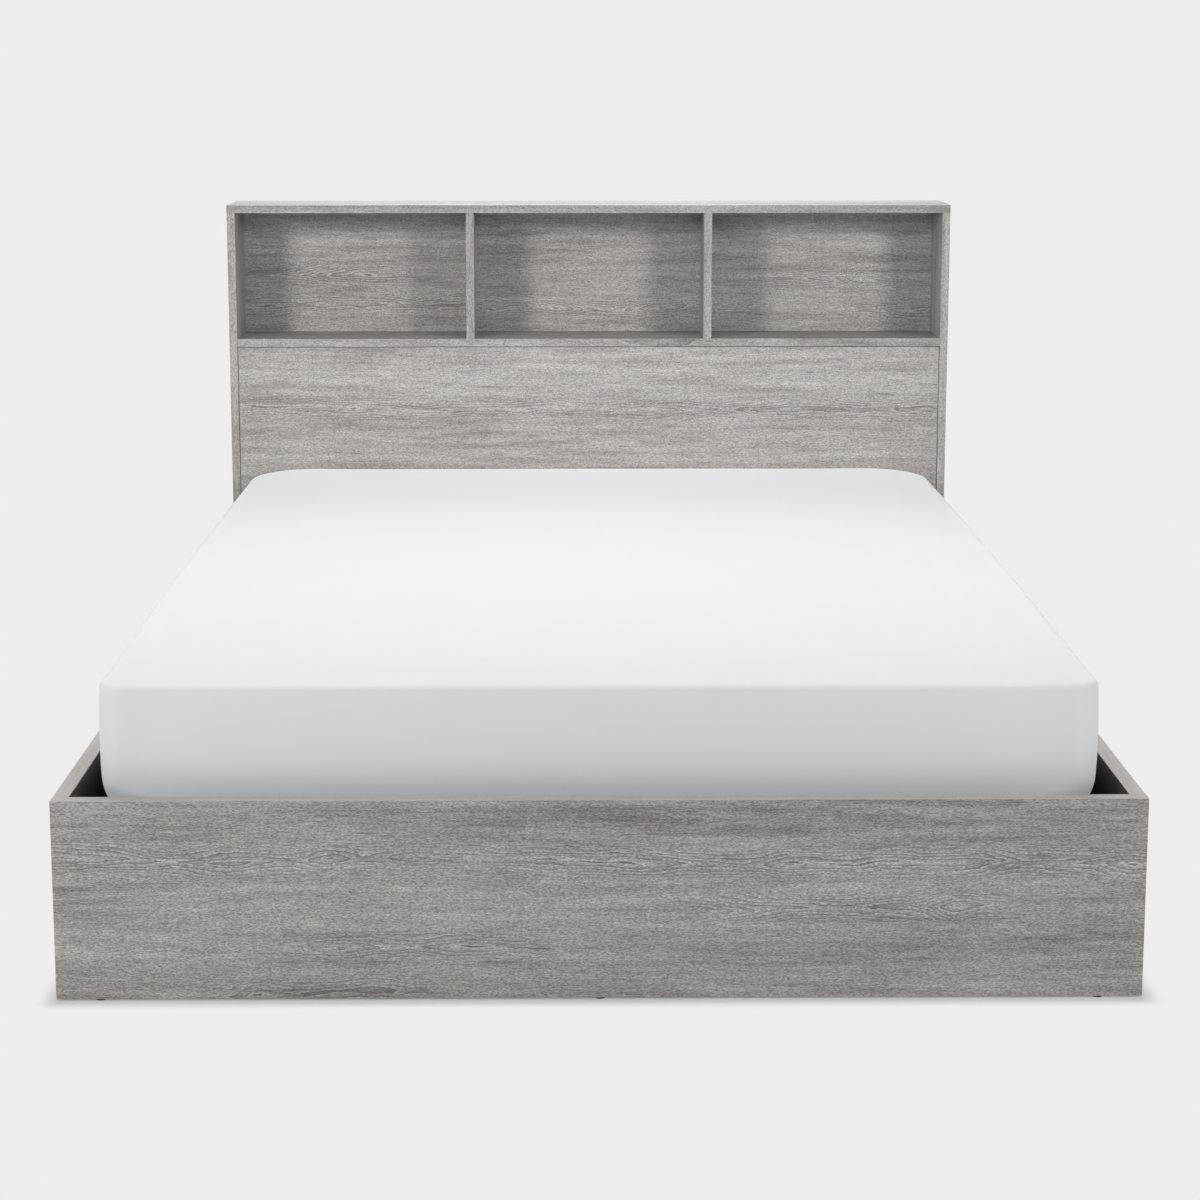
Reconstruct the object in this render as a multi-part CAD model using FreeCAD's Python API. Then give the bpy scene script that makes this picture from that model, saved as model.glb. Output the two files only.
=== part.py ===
"""Ottoman bed: a wood-look storage box with a bookcase headboard and a lifting slatted platform."""

import FreeCAD
import Part
import math
import os

# Mattress
MATTRESS_WIDTH = 1350.0
MATTRESS_LENGTH = 1900.0
MATTRESS_THICKNESS = 172.0
MATTRESS_CROWN = 8.0
MATTRESS_RIM = 26.0
MATTRESS_HEAD_RIM = 44.0
MATTRESS_DRAW_IN = 3.0
MATTRESS_FOOT_CORNER = 32.0
MATTRESS_HEAD_CORNER = 130.0
RIM_ANGLES = (0.0, 18.0, 40.0, 64.0, 90.0)
CROWN_INSET_SHARES = (0.12, 0.30, 0.55)
CROWN_RISE_SHARES = (0.45, 0.80, 1.0)

# Gaps around the mattress
FOOT_GAP = 30.0
HEAD_GAP = 12.0
MATTRESS_RECESS = 28.0

# Boards of the box
RAIL_BOARD = 22.0
FOOT_BOARD = 22.0
RAIL_HEIGHT = 275.0
EDGE_EASE = 1.0

# Headboard
HEADBOARD_HEIGHT = 952.0
HEADBOARD_DEPTH = 170.0
HEADBOARD_BOARD = 16.0
COMPARTMENT_HEIGHT = 254.0
PANEL_INSET = 1.0
JOINT_LINE = 1.2
FRONT_PANEL_LIFT = 12.0
BRACE_HEIGHT = 100.0
BRACE_LIFT = 60.0

# Storage floor
GLIDE_HEIGHT = 3.0
GLIDE_RADIUS = 7.0
CLEAT_HEIGHT = 16.0
CLEAT_WIDTH = 24.0
BEAM_WIDTH = 60.0
FLOOR_BOARD = 6.0
FLOOR_GAP = 1.0
GLIDE_SPOT_SHARES = (0.04, 0.5, 0.96)

# Fits and cuts
FIT = 0.05
SEAT_GAP = 0.3
OVERRUN = 5.0

# Screws, dowels and cam locks
SCREW_RADIUS = 2.0
SCREW_HEAD_RADIUS = 4.0
SCREW_HEAD_HEIGHT = 2.2
SCREW_GRIP = 14.0
DOWEL_RADIUS = 4.0
DOWEL_LENGTH = 30.0
DOWEL_END_ROOM = 0.5
CAM_RADIUS = 7.5
CAM_DEPTH = 12.0
CAM_SLOT_WIDTH = 1.6
CAM_SLOT_DEPTH = 2.0
CAM_BOLT_RADIUS = 3.0
CAM_BOLT_GRIP = 10.0
CAM_SETBACK = 34.0
CAM_SPOT_SHARES = (0.22, 0.78)
DOWEL_SPOT_SHARES = (0.25, 0.75)
DOWEL_SEAT_SHARE = 0.66
CAM_BRACKET_GAP = 16.0

# Corner brackets
BRACKET_LEG = 50.0
BRACKET_HEIGHT = 60.0
BRACKET_PLATE = 4.0
BRACKET_LIFT = 50.0
BRACKET_SCREW_SHARES = (0.25, 0.75)
BRACKET_SCREW_REACH_SHARE = 0.62

# Platform frame
TUBE_HEIGHT = 40.0
TUBE_WIDTH = 25.0
TUBE_WALL = 1.5
PLUG_CAP = 3.0
PLUG_DEPTH = 15.0
PLATFORM_FOOT_GAP = 15.0
PLATFORM_HEAD_INSET = 5.0

# Slats and their holders
SLAT_COUNT = 14
SLAT_WIDTH = 53.0
SLAT_THICKNESS = 8.0
HOLDER_BASE = 10.0
HOLDER_WALL = 4.0
HOLDER_REACH = 36.0
HOLDER_END_WALL = 6.0

# Lift linkage, layer by layer from the rail inwards
HINGE_PLATE = 4.0
ARM_PLATE = 5.0
PLATFORM_PLATE = 5.0
LAYER_GAP = 2.0
LIFT_ANGLE = 40.0
ARM_REACH = 320.0
ARM_RISE = 70.0
ROLLER_SETBACK = 130.0
ARM_FOOT_RADIUS = 22.0
ARM_HEAD_RADIUS = 20.0
ARM_STRUT_RADIUS = 14.0
PIN_RADIUS = 7.0
PIN_HEAD_RADIUS = 11.0
PIN_HEAD_HEIGHT = 1.5
PIN_PLAY = 0.5

# Hinge plate on the rail
HINGE_PLATE_RADIUS = 32.0
HINGE_PLATE_TOE_RADIUS = 13.0
HINGE_PLATE_TOP_RADIUS = 24.0
HINGE_PLATE_TOP_RISE = 50.0
HINGE_SCREW_REACH = 21.0

# Guide channel and roller
ROLLER_RADIUS = 13.0
ROLLER_WIDTH = 12.0
ROLLER_AXLE_RADIUS = 5.0
ROLLER_COLLAR_RADIUS = 8.0
CHANNEL_WALL = 2.0
CHANNEL_DEPTH = 18.0
CHANNEL_END_ROOM = 8.0
CHANNEL_SCREW_SHARES = (0.08, 0.5, 0.92)
CHANNEL_SCREW_HEAD_HEIGHT = 1.4

# Platform plate
PLATFORM_PLATE_RADIUS = 19.0
PLATFORM_BOLT_RADIUS = 4.0
PLATFORM_BOLT_HEAD_RADIUS = 6.5
PLATFORM_BOLT_HEAD_HEIGHT = 1.5
PLATFORM_BOLT_GRIP = 14.0
PLATFORM_BOLT_SHARES = (0.25, 0.60, 0.95)

# Gas strut
STRUT_RADIUS = 9.0
ROD_RADIUS = 4.0
STRUT_DROP_ANGLE = 36.0
STRUT_RISE_ANGLE = 25.0
STRUT_FOOT_LIFT = 15.0
STRUT_EYE_RADIUS = 8.5
STRUT_EYE_WIDTH = 11.0
STRUT_NECK_RADIUS = 4.5
STRUT_STUD_RADIUS = 4.0
STRUT_STUD_HEAD_RADIUS = 6.5
STRUT_STUD_HEAD_HEIGHT = 1.2
STRUT_ROD_SHOW = 6.0
STRUT_ENGAGE = 18.0

# Rest blocks under the platform
REST_LENGTH = 50.0
REST_HEIGHT = 32.0
REST_PAD = 4.0
REST_UNDERLAP = 18.0
REST_SPOT_SHARES = (0.06, 0.36)

# Mattress retainer and pull strap
RETAINER_WIDTH = 200.0
RETAINER_RADIUS = 4.0
RETAINER_BEND = 10.0
RETAINER_CLEARANCE = 3.0
RETAINER_HIDE = 12.0
STRAP_WIDTH = 40.0
STRAP_PLY = 2.0
STRAP_ROLL_RADIUS = 5.0
STRAP_HIDE = 12.0
STRAP_DROP_SHARE = 0.9

# Places along the width
MATTRESS_SIDE = MATTRESS_WIDTH / 2
SIDE_GAP = HINGE_PLATE + LAYER_GAP + 2 * STRUT_RADIUS + LAYER_GAP + ARM_PLATE + LAYER_GAP
RAIL_INNER = MATTRESS_SIDE + SIDE_GAP
HALF_WIDTH = RAIL_INNER + RAIL_BOARD
HINGE_PLATE_FACE = RAIL_INNER - HINGE_PLATE
STRUT_X = HINGE_PLATE_FACE - LAYER_GAP - STRUT_RADIUS
ARM_OUTER = STRUT_X - STRUT_RADIUS - LAYER_GAP
ARM_INNER = ARM_OUTER - ARM_PLATE
PLATE_OUTER = ARM_INNER - LAYER_GAP
TUBE_OUTER = PLATE_OUTER - PLATFORM_PLATE
TUBE_INNER = TUBE_OUTER - TUBE_WIDTH
SIDE_INNER = HALF_WIDTH - HEADBOARD_BOARD

# Places along the length
INNER_LENGTH = FOOT_GAP + MATTRESS_LENGTH + HEAD_GAP
BED_LENGTH = FOOT_BOARD + INNER_LENGTH + HEADBOARD_DEPTH
FOOT_FRONT = -BED_LENGTH / 2
FOOT_BACK = FOOT_FRONT + FOOT_BOARD
MATTRESS_FOOT = FOOT_BACK + FOOT_GAP
MATTRESS_HEAD = MATTRESS_FOOT + MATTRESS_LENGTH
HEAD_FRONT = MATTRESS_HEAD + HEAD_GAP
HEAD_BACK = HEAD_FRONT + HEADBOARD_DEPTH
PANEL_FRONT = HEAD_FRONT + PANEL_INSET
BACK_FRONT = HEAD_BACK - HEADBOARD_BOARD
PLATFORM_FOOT = FOOT_BACK + PLATFORM_FOOT_GAP
PLATFORM_HEAD = MATTRESS_HEAD - PLATFORM_HEAD_INSET

# Places along the height
BOARD_FOOT = GLIDE_HEIGHT
RAIL_TOP = BOARD_FOOT + RAIL_HEIGHT
FLOOR_UNDERSIDE = BOARD_FOOT + CLEAT_HEIGHT
FLOOR_TOP = FLOOR_UNDERSIDE + FLOOR_BOARD
MATTRESS_BOTTOM = RAIL_TOP - MATTRESS_RECESS
SLAT_BOTTOM = MATTRESS_BOTTOM - SLAT_THICKNESS
TUBE_TOP = SLAT_BOTTOM - HOLDER_BASE
TUBE_BOTTOM = TUBE_TOP - TUBE_HEIGHT
TUBE_MIDDLE = TUBE_TOP - TUBE_HEIGHT / 2
HEADBOARD_TOP = BOARD_FOOT + HEADBOARD_HEIGHT
TOP_UNDERSIDE = HEADBOARD_TOP - HEADBOARD_BOARD
SHELF_TOP = TOP_UNDERSIDE - COMPARTMENT_HEIGHT
SHELF_UNDERSIDE = SHELF_TOP - HEADBOARD_BOARD
BRACKET_FOOT = FLOOR_TOP + BRACKET_LIFT
BRACKET_TOP = BRACKET_FOOT + BRACKET_HEIGHT

# Pivot points of the lift linkage, as places along the length and the height
SLIDE_HEIGHT = TUBE_MIDDLE - ARM_RISE
ARM_START_ANGLE = math.asin(ARM_RISE / ARM_REACH)
ARM_SPAN = ARM_REACH * math.cos(ARM_START_ANGLE)
ROLLER_Y = MATTRESS_HEAD - ROLLER_SETBACK
PLATFORM_PIVOT = (ROLLER_Y - ARM_SPAN, TUBE_MIDDLE)
LIFT_PIVOT = (ROLLER_Y - 2 * ARM_SPAN, SLIDE_HEIGHT)
ROLLER_TRAVEL = 2 * (ARM_SPAN - ARM_REACH * math.cos(ARM_START_ANGLE + math.radians(LIFT_ANGLE)))
STRUT_FOOT_HEIGHT = FLOOR_TOP + STRUT_FOOT_LIFT
STRUT_REACH = (SLIDE_HEIGHT - STRUT_FOOT_HEIGHT) / math.sin(math.radians(STRUT_DROP_ANGLE))
STRUT_FOOT = (LIFT_PIVOT[0] + STRUT_REACH * math.cos(math.radians(STRUT_DROP_ANGLE)), STRUT_FOOT_HEIGHT)
STRUT_HEAD = (
    LIFT_PIVOT[0] + STRUT_REACH * math.cos(math.radians(STRUT_RISE_ANGLE)),
    LIFT_PIVOT[1] + STRUT_REACH * math.sin(math.radians(STRUT_RISE_ANGLE)),
)
STRUT_SPREAD = math.radians(STRUT_DROP_ANGLE + STRUT_RISE_ANGLE)
STRUT_CLOSED = 2 * STRUT_REACH * math.sin(STRUT_SPREAD / 2)
STRUT_OPEN = 2 * STRUT_REACH * math.sin((STRUT_SPREAD + math.radians(LIFT_ANGLE)) / 2)

X_AXIS = FreeCAD.Vector(1, 0, 0)
Y_AXIS = FreeCAD.Vector(0, 1, 0)
Z_AXIS = FreeCAD.Vector(0, 0, 1)
ORIGIN = FreeCAD.Vector(0, 0, 0)

drillings = {}


def spot(x, y, z):
    return FreeCAD.Vector(x, y, z)


def block(x_span, y_span, z_span):
    """A box between a low and a high place on each axis."""
    corner = spot(x_span[0], y_span[0], z_span[0])
    return Part.makeBox(x_span[1] - x_span[0], y_span[1] - y_span[0], z_span[1] - z_span[0], corner)


def rod(start, direction, length, radius):
    return Part.makeCylinder(radius, length, start, direction)


def between(low, high, share):
    return low + (high - low) * share


def mirrored(shape):
    return shape.mirror(ORIGIN, X_AXIS)


def pair(shape):
    """The shape on the right and its mirror image on the left."""
    return [shape, mirrored(shape)]


def eased_board(x_span, y_span, z_span, axis):
    """A board whose edges along one axis are slightly rounded."""
    shape = block(x_span, y_span, z_span)
    edges = [e for e in shape.Edges if abs(e.tangentAt(e.FirstParameter).dot(axis)) == 1]
    return shape.makeFillet(EDGE_EASE, edges)


def drill(board, start, direction, length, radius):
    """Note a hole for a board, cut when the board is saved."""
    drillings.setdefault(board, []).append(rod(start, direction, length, radius))


def save(name, shapes):
    """Write one node, with the holes noted for it."""
    solids = shapes if isinstance(shapes, list) else [shapes]
    holes = drillings.get(name, [])
    if holes:
        solids = [s.cut(holes) for s in solids]
    whole = solids[0] if len(solids) == 1 else Part.makeCompound(solids)
    whole.exportStep("parts/%s.step" % name)


def hull_outline(circles):
    """The outline around circles in the plane of length and height, taken anticlockwise."""
    count = len(circles)
    normals = []
    for i in range(count):
        y0, z0, r0 = circles[i]
        y1, z1, r1 = circles[(i + 1) % count]
        reach = math.hypot(y1 - y0, z1 - z0)
        normals.append(math.atan2(z1 - z0, y1 - y0) - math.acos((r0 - r1) / reach))
    edges = []
    for i in range(count):
        y0, z0, r0 = circles[i]
        y1, z1, r1 = circles[(i + 1) % count]
        turn_in = normals[i - 1]
        turn_out = normals[i]
        while turn_out < turn_in:
            turn_out += 2 * math.pi
        turns = (turn_in, (turn_in + turn_out) / 2, turn_out)
        arc = [spot(0, y0 + r0 * math.cos(a), z0 + r0 * math.sin(a)) for a in turns]
        edges.append(Part.Arc(arc[0], arc[1], arc[2]).toShape())
        far = spot(0, y1 + r1 * math.cos(normals[i]), z1 + r1 * math.sin(normals[i]))
        edges.append(Part.LineSegment(arc[2], far).toShape())
    return Part.Face(Part.Wire(edges))


def hull_plate(circles, x_low, x_high):
    """A flat plate around circles, between two places across the width."""
    face = hull_outline(circles)
    face.translate(spot(x_low, 0, 0))
    return face.extrude(spot(x_high - x_low, 0, 0))


def turned_pin(y, z, x_start, steps):
    """A pin along the width: steps of (length, radius), going inwards where the length is negative."""
    x = x_start
    shape = None
    for length, radius in steps:
        direction = X_AXIS if length > 0 else X_AXIS * -1
        piece = rod(spot(x, y, z), direction, abs(length), radius)
        shape = piece if shape is None else shape.fuse(piece)
        x += length
    return shape.removeSplitter()


def sunk_screw(start, direction, plate_depth, grip, head_height=SCREW_HEAD_HEIGHT):
    """A screw whose head lies flush in a plate; start is on the plate's face."""
    head = rod(start, direction, head_height, SCREW_HEAD_RADIUS)
    shank = rod(start, direction, plate_depth + grip, SCREW_RADIUS)
    return head.fuse(shank).removeSplitter()


def sunk_hole(plate, board, start, direction, plate_depth, grip, head_height=SCREW_HEAD_HEIGHT):
    """The holes for a flush screw in its plate and in the board behind."""
    back = start - direction * OVERRUN
    drill(plate, back, direction, OVERRUN + head_height, SCREW_HEAD_RADIUS + FIT)
    drill(plate, start, direction, plate_depth + OVERRUN, SCREW_RADIUS + FIT)
    drill(board, start, direction, plate_depth + grip + DOWEL_END_ROOM, SCREW_RADIUS + FIT)


dowels = []
cams = []
cam_bolts = []


def dowel(centre, direction, first, second):
    """A dowel across a joint, with a hole in each of the two boards."""
    half = DOWEL_LENGTH / 2
    dowels.append(rod(centre - direction * half, direction, DOWEL_LENGTH, DOWEL_RADIUS))
    for board in (first, second):
        reach = half + DOWEL_END_ROOM
        drill(board, centre - direction * reach, direction, 2 * reach, DOWEL_RADIUS + FIT)


def cam_joint(face, inward, along, held, holder, gap):
    """A cam lock sunk in a face of the held board, with its bolt into the holder beyond the joint.

    face is the cam's centre on the board's face, inward points into the board, along points to the joint.
    """
    cam = rod(face, inward, CAM_DEPTH, CAM_RADIUS)
    bolt_line = face + inward * (HEADBOARD_BOARD / 2)
    bolt_start = bolt_line + along * (CAM_RADIUS + FIT)
    reach = CAM_SETBACK + gap + CAM_BOLT_GRIP - CAM_RADIUS - FIT
    cam_bolts.append(rod(bolt_start, along, reach, CAM_BOLT_RADIUS))
    slot_long = CAM_RADIUS
    across = inward.cross(along)
    corner = face - along * slot_long - across * (CAM_SLOT_WIDTH / 2)
    points = [corner, corner + along * (2 * slot_long)]
    points += [points[1] + across * CAM_SLOT_WIDTH, corner + across * CAM_SLOT_WIDTH, corner]
    slot = Part.Face(Part.makePolygon(points)).extrude(inward * CAM_SLOT_DEPTH)
    cams.append(cam.cut(slot))
    drill(held, face - inward * OVERRUN, inward, OVERRUN + CAM_DEPTH, CAM_RADIUS + FIT)
    drill(held, bolt_line, along, CAM_SETBACK + OVERRUN, CAM_BOLT_RADIUS + FIT)
    holder_reach = CAM_SETBACK + gap + CAM_BOLT_GRIP + DOWEL_END_ROOM
    drill(holder, bolt_line, along, holder_reach, CAM_BOLT_RADIUS + FIT)


os.makedirs("parts", exist_ok=True)

# Bed box boards
full_width = (-HALF_WIDTH, HALF_WIDTH)
box_z = (BOARD_FOOT, RAIL_TOP)
foot_panel = eased_board(full_width, (FOOT_FRONT, FOOT_BACK), box_z, X_AXIS)
right_rail = eased_board((RAIL_INNER, HALF_WIDTH), (FOOT_BACK, HEAD_FRONT), box_z, Y_AXIS)

# Headboard boards
head_y = (HEAD_FRONT, HEAD_BACK)
bay_y = (HEAD_FRONT, BACK_FRONT)
inner_width = (-SIDE_INNER, SIDE_INNER)
head_side = eased_board((SIDE_INNER, HALF_WIDTH), head_y, (BOARD_FOOT, TOP_UNDERSIDE), Z_AXIS)
head_top = eased_board(full_width, head_y, (TOP_UNDERSIDE, HEADBOARD_TOP), X_AXIS)
shelf = block(inner_width, bay_y, (SHELF_UNDERSIDE, SHELF_TOP))
bay_width = (2 * SIDE_INNER - 2 * HEADBOARD_BOARD) / 3
divider_left = bay_width / 2
divider = block((divider_left, divider_left + HEADBOARD_BOARD), bay_y, (SHELF_TOP, TOP_UNDERSIDE))
back_panel = block(inner_width, (BACK_FRONT, HEAD_BACK), (SHELF_UNDERSIDE, TOP_UNDERSIDE))
panel_side = SIDE_INNER - JOINT_LINE
panel_foot = BOARD_FOOT + FRONT_PANEL_LIFT
panel_top = SHELF_UNDERSIDE - JOINT_LINE
panel_back = PANEL_FRONT + HEADBOARD_BOARD
front_panel = block((-panel_side, panel_side), (PANEL_FRONT, panel_back), (panel_foot, panel_top))
brace_foot = BOARD_FOOT + BRACE_LIFT
brace_top = brace_foot + BRACE_HEIGHT
rear_brace = block(inner_width, (BACK_FRONT, HEAD_BACK), (brace_foot, brace_top))

# Dowels: rails to the foot panel and to the headboard, top board to sides and dividers, dividers to the shelf
for side, sign in (("left", -1), ("right", 1)):
    rail_middle = sign * (RAIL_INNER + RAIL_BOARD / 2)
    edge_middle = sign * (HALF_WIDTH - HEADBOARD_BOARD / 2)
    for share in DOWEL_SPOT_SHARES:
        height = between(BOARD_FOOT, RAIL_TOP, share)
        depth = between(HEAD_FRONT, HEAD_BACK, share)
        inner_depth = between(HEAD_FRONT, BACK_FRONT, share)
        back_height = between(SHELF_UNDERSIDE, TOP_UNDERSIDE, share)
        rail = side + "_side_rail"
        head = "headboard_%s_side" % side
        wall = "headboard_%s_divider" % side
        wall_middle = sign * (divider_left + HEADBOARD_BOARD / 2)
        foot_inset = DOWEL_LENGTH / 2 - FOOT_BOARD * DOWEL_SEAT_SHARE
        dowel(spot(rail_middle, FOOT_BACK + foot_inset, height), Y_AXIS, "foot_panel", rail)
        dowel(spot(edge_middle, HEAD_FRONT, height), Y_AXIS, rail, head)
        inset = DOWEL_LENGTH / 2 - HEADBOARD_BOARD * DOWEL_SEAT_SHARE
        dowel(spot(edge_middle, depth, TOP_UNDERSIDE - inset), Z_AXIS, head, "headboard_top")
        dowel(spot(wall_middle, inner_depth, TOP_UNDERSIDE - inset), Z_AXIS, wall, "headboard_top")
        dowel(spot(wall_middle, inner_depth, SHELF_TOP + inset), Z_AXIS, wall, "headboard_shelf")
        back_spot = spot(sign * (SIDE_INNER - inset), HEAD_BACK - HEADBOARD_BOARD / 2, back_height)
        dowel(back_spot, X_AXIS, "headboard_back_panel", head)

# Cam locks: shelf, lower front panel and rear brace to the sides; the panel's lower ones clear the brackets
low_cam = BRACKET_TOP + CAM_BRACKET_GAP + CAM_RADIUS
panel_cam_heights = (low_cam, between(low_cam, panel_top, CAM_SPOT_SHARES[1]))
for side, sign in (("left", -1), ("right", 1)):
    along = X_AXIS * sign
    head = "headboard_%s_side" % side
    cam_x = sign * (SIDE_INNER - CAM_SETBACK)
    panel_cam_x = sign * (panel_side - CAM_SETBACK)
    for share in CAM_SPOT_SHARES:
        shelf_spot = spot(cam_x, between(panel_back, BACK_FRONT, share), SHELF_UNDERSIDE)
        cam_joint(shelf_spot, Z_AXIS, along, "headboard_shelf", head, 0)
    for height in panel_cam_heights:
        panel_spot = spot(panel_cam_x, panel_back, height)
        cam_joint(panel_spot, Y_AXIS * -1, along, "headboard_front_panel", head, JOINT_LINE)
    brace_spot = spot(cam_x, BACK_FRONT, between(brace_foot, brace_top, sum(CAM_SPOT_SHARES) / 2))
    cam_joint(brace_spot, Y_AXIS, along, "headboard_rear_brace", head, 0)

# Corner brackets and their screws
bracket_z = (BRACKET_FOOT, BRACKET_TOP)
brackets = []
bracket_screws = []
corners = (
    ("left_side_rail", -1, "foot_panel", FOOT_BACK, 1),
    ("right_side_rail", 1, "foot_panel", FOOT_BACK, 1),
    ("left_side_rail", -1, "headboard_front_panel", PANEL_FRONT, -1),
    ("right_side_rail", 1, "headboard_front_panel", PANEL_FRONT, -1),
)
for rail, sign, end_board, end_face, way in corners:
    face_x = sign * RAIL_INNER
    x_near = sorted((face_x, face_x - sign * BRACKET_PLATE))
    x_far = sorted((face_x, face_x - sign * BRACKET_LEG))
    y_near = sorted((end_face, end_face + way * BRACKET_PLATE))
    y_far = sorted((end_face, end_face + way * BRACKET_LEG))
    leg = block(x_near, y_far, bracket_z)
    brackets.append(leg.fuse(block(x_far, y_near, bracket_z)).removeSplitter())
    for share in BRACKET_SCREW_SHARES:
        height = between(BRACKET_FOOT, BRACKET_TOP, share)
        reach = BRACKET_LEG * BRACKET_SCREW_REACH_SHARE
        grip = SCREW_GRIP - BRACKET_PLATE
        on_rail = spot(face_x - sign * BRACKET_PLATE, end_face + way * reach, height)
        bracket_screws.append(sunk_screw(on_rail, X_AXIS * sign, BRACKET_PLATE, grip))
        sunk_hole("corner_brackets", rail, on_rail, X_AXIS * sign, BRACKET_PLATE, grip)
        on_end = spot(face_x - sign * reach, end_face + way * BRACKET_PLATE, height)
        bracket_screws.append(sunk_screw(on_end, Y_AXIS * -way, BRACKET_PLATE, grip))
        sunk_hole("corner_brackets", end_board, on_end, Y_AXIS * -way, BRACKET_PLATE, grip)

# Storage floor
floor_back = PANEL_FRONT
cleat_x = (RAIL_INNER - CLEAT_WIDTH, RAIL_INNER)
side_cleat = block(cleat_x, (FOOT_BACK, HEAD_FRONT), (BOARD_FOOT, FLOOR_UNDERSIDE))
end_cleat_x = RAIL_INNER - CLEAT_WIDTH
end_cleats = []
for x_span in ((-end_cleat_x, -BEAM_WIDTH / 2), (BEAM_WIDTH / 2, end_cleat_x)):
    end_cleats.append(block(x_span, (FOOT_BACK, FOOT_BACK + CLEAT_WIDTH), (BOARD_FOOT, FLOOR_UNDERSIDE)))
    end_cleats.append(block(x_span, (floor_back - CLEAT_WIDTH, floor_back), (panel_foot, FLOOR_UNDERSIDE)))
beam = block((-BEAM_WIDTH / 2, BEAM_WIDTH / 2), (FOOT_BACK, HEAD_FRONT), (BOARD_FOOT, FLOOR_UNDERSIDE))
floor_y = (FOOT_BACK + FLOOR_GAP, HEAD_FRONT - FLOOR_GAP)
floor_right = block((FLOOR_GAP / 2, RAIL_INNER - FLOOR_GAP), floor_y, (FLOOR_UNDERSIDE, FLOOR_TOP))

# Floor glides under the boards and the beam
glides = []
glide_spots = [(0, between(FOOT_BACK, HEAD_FRONT, share)) for share in GLIDE_SPOT_SHARES]
for share in GLIDE_SPOT_SHARES:
    glide_spots.append((between(-HALF_WIDTH, HALF_WIDTH, share), FOOT_FRONT + FOOT_BOARD / 2))
    for sign in (-1, 1):
        glide_spots.append((sign * (RAIL_INNER + RAIL_BOARD / 2), between(FOOT_BACK, HEAD_FRONT, share)))
for sign in (-1, 1):
    for share in DOWEL_SPOT_SHARES:
        glide_spots.append((sign * (HALF_WIDTH - HEADBOARD_BOARD / 2), between(HEAD_FRONT, HEAD_BACK, share)))
for x, y in glide_spots:
    glides.append(rod(spot(x, y, 0), Z_AXIS, GLIDE_HEIGHT, GLIDE_RADIUS))

# Hinge plate on the right rail, with its pivot pin, strut stud and screws
plate_top = (STRUT_FOOT[0], LIFT_PIVOT[1] + HINGE_PLATE_TOP_RISE)
plate_circles = [
    (LIFT_PIVOT[0], LIFT_PIVOT[1], HINGE_PLATE_RADIUS),
    (STRUT_FOOT[0], STRUT_FOOT[1], HINGE_PLATE_TOE_RADIUS),
    (plate_top[0], plate_top[1], HINGE_PLATE_TOP_RADIUS),
]
hinge_plate = hull_plate(plate_circles, HINGE_PLATE_FACE, RAIL_INNER)
pivot_steps = (
    (ARM_OUTER + PIN_PLAY - HINGE_PLATE_FACE, PIN_HEAD_RADIUS),
    (-ARM_PLATE - 2 * PIN_PLAY, PIN_RADIUS),
    (-PIN_HEAD_HEIGHT, PIN_HEAD_RADIUS),
)
lift_pin = turned_pin(LIFT_PIVOT[0], LIFT_PIVOT[1], HINGE_PLATE_FACE, pivot_steps)
eye_outer = STRUT_X + STRUT_EYE_WIDTH / 2
eye_inner = STRUT_X - STRUT_EYE_WIDTH / 2
foot_stud_steps = (
    (eye_outer + PIN_PLAY - HINGE_PLATE_FACE, STRUT_STUD_HEAD_RADIUS),
    (-STRUT_EYE_WIDTH - 2 * PIN_PLAY, STRUT_STUD_RADIUS),
    (-STRUT_STUD_HEAD_HEIGHT, STRUT_STUD_HEAD_RADIUS),
)
foot_stud = turned_pin(STRUT_FOOT[0], STRUT_FOOT[1], HINGE_PLATE_FACE, foot_stud_steps)
mechanism_screws = []
hinge_screw_spots = [
    (LIFT_PIVOT[0] - HINGE_SCREW_REACH, LIFT_PIVOT[1]),
    (LIFT_PIVOT[0], LIFT_PIVOT[1] - HINGE_SCREW_REACH),
    (LIFT_PIVOT[0], LIFT_PIVOT[1] + HINGE_SCREW_REACH),
    plate_top,
    ((LIFT_PIVOT[0] + STRUT_FOOT[0]) / 2, (LIFT_PIVOT[1] + STRUT_FOOT[1]) / 2),
]
for side, sign in (("left", -1), ("right", 1)):
    for y, z in hinge_screw_spots:
        start = spot(sign * HINGE_PLATE_FACE, y, z)
        grip = SCREW_GRIP - HINGE_PLATE
        mechanism_screws.append(sunk_screw(start, X_AXIS * sign, HINGE_PLATE, grip))
        sunk_hole(side + "_hinge_plate", side + "_side_rail", start, X_AXIS * sign, HINGE_PLATE, grip)

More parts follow.
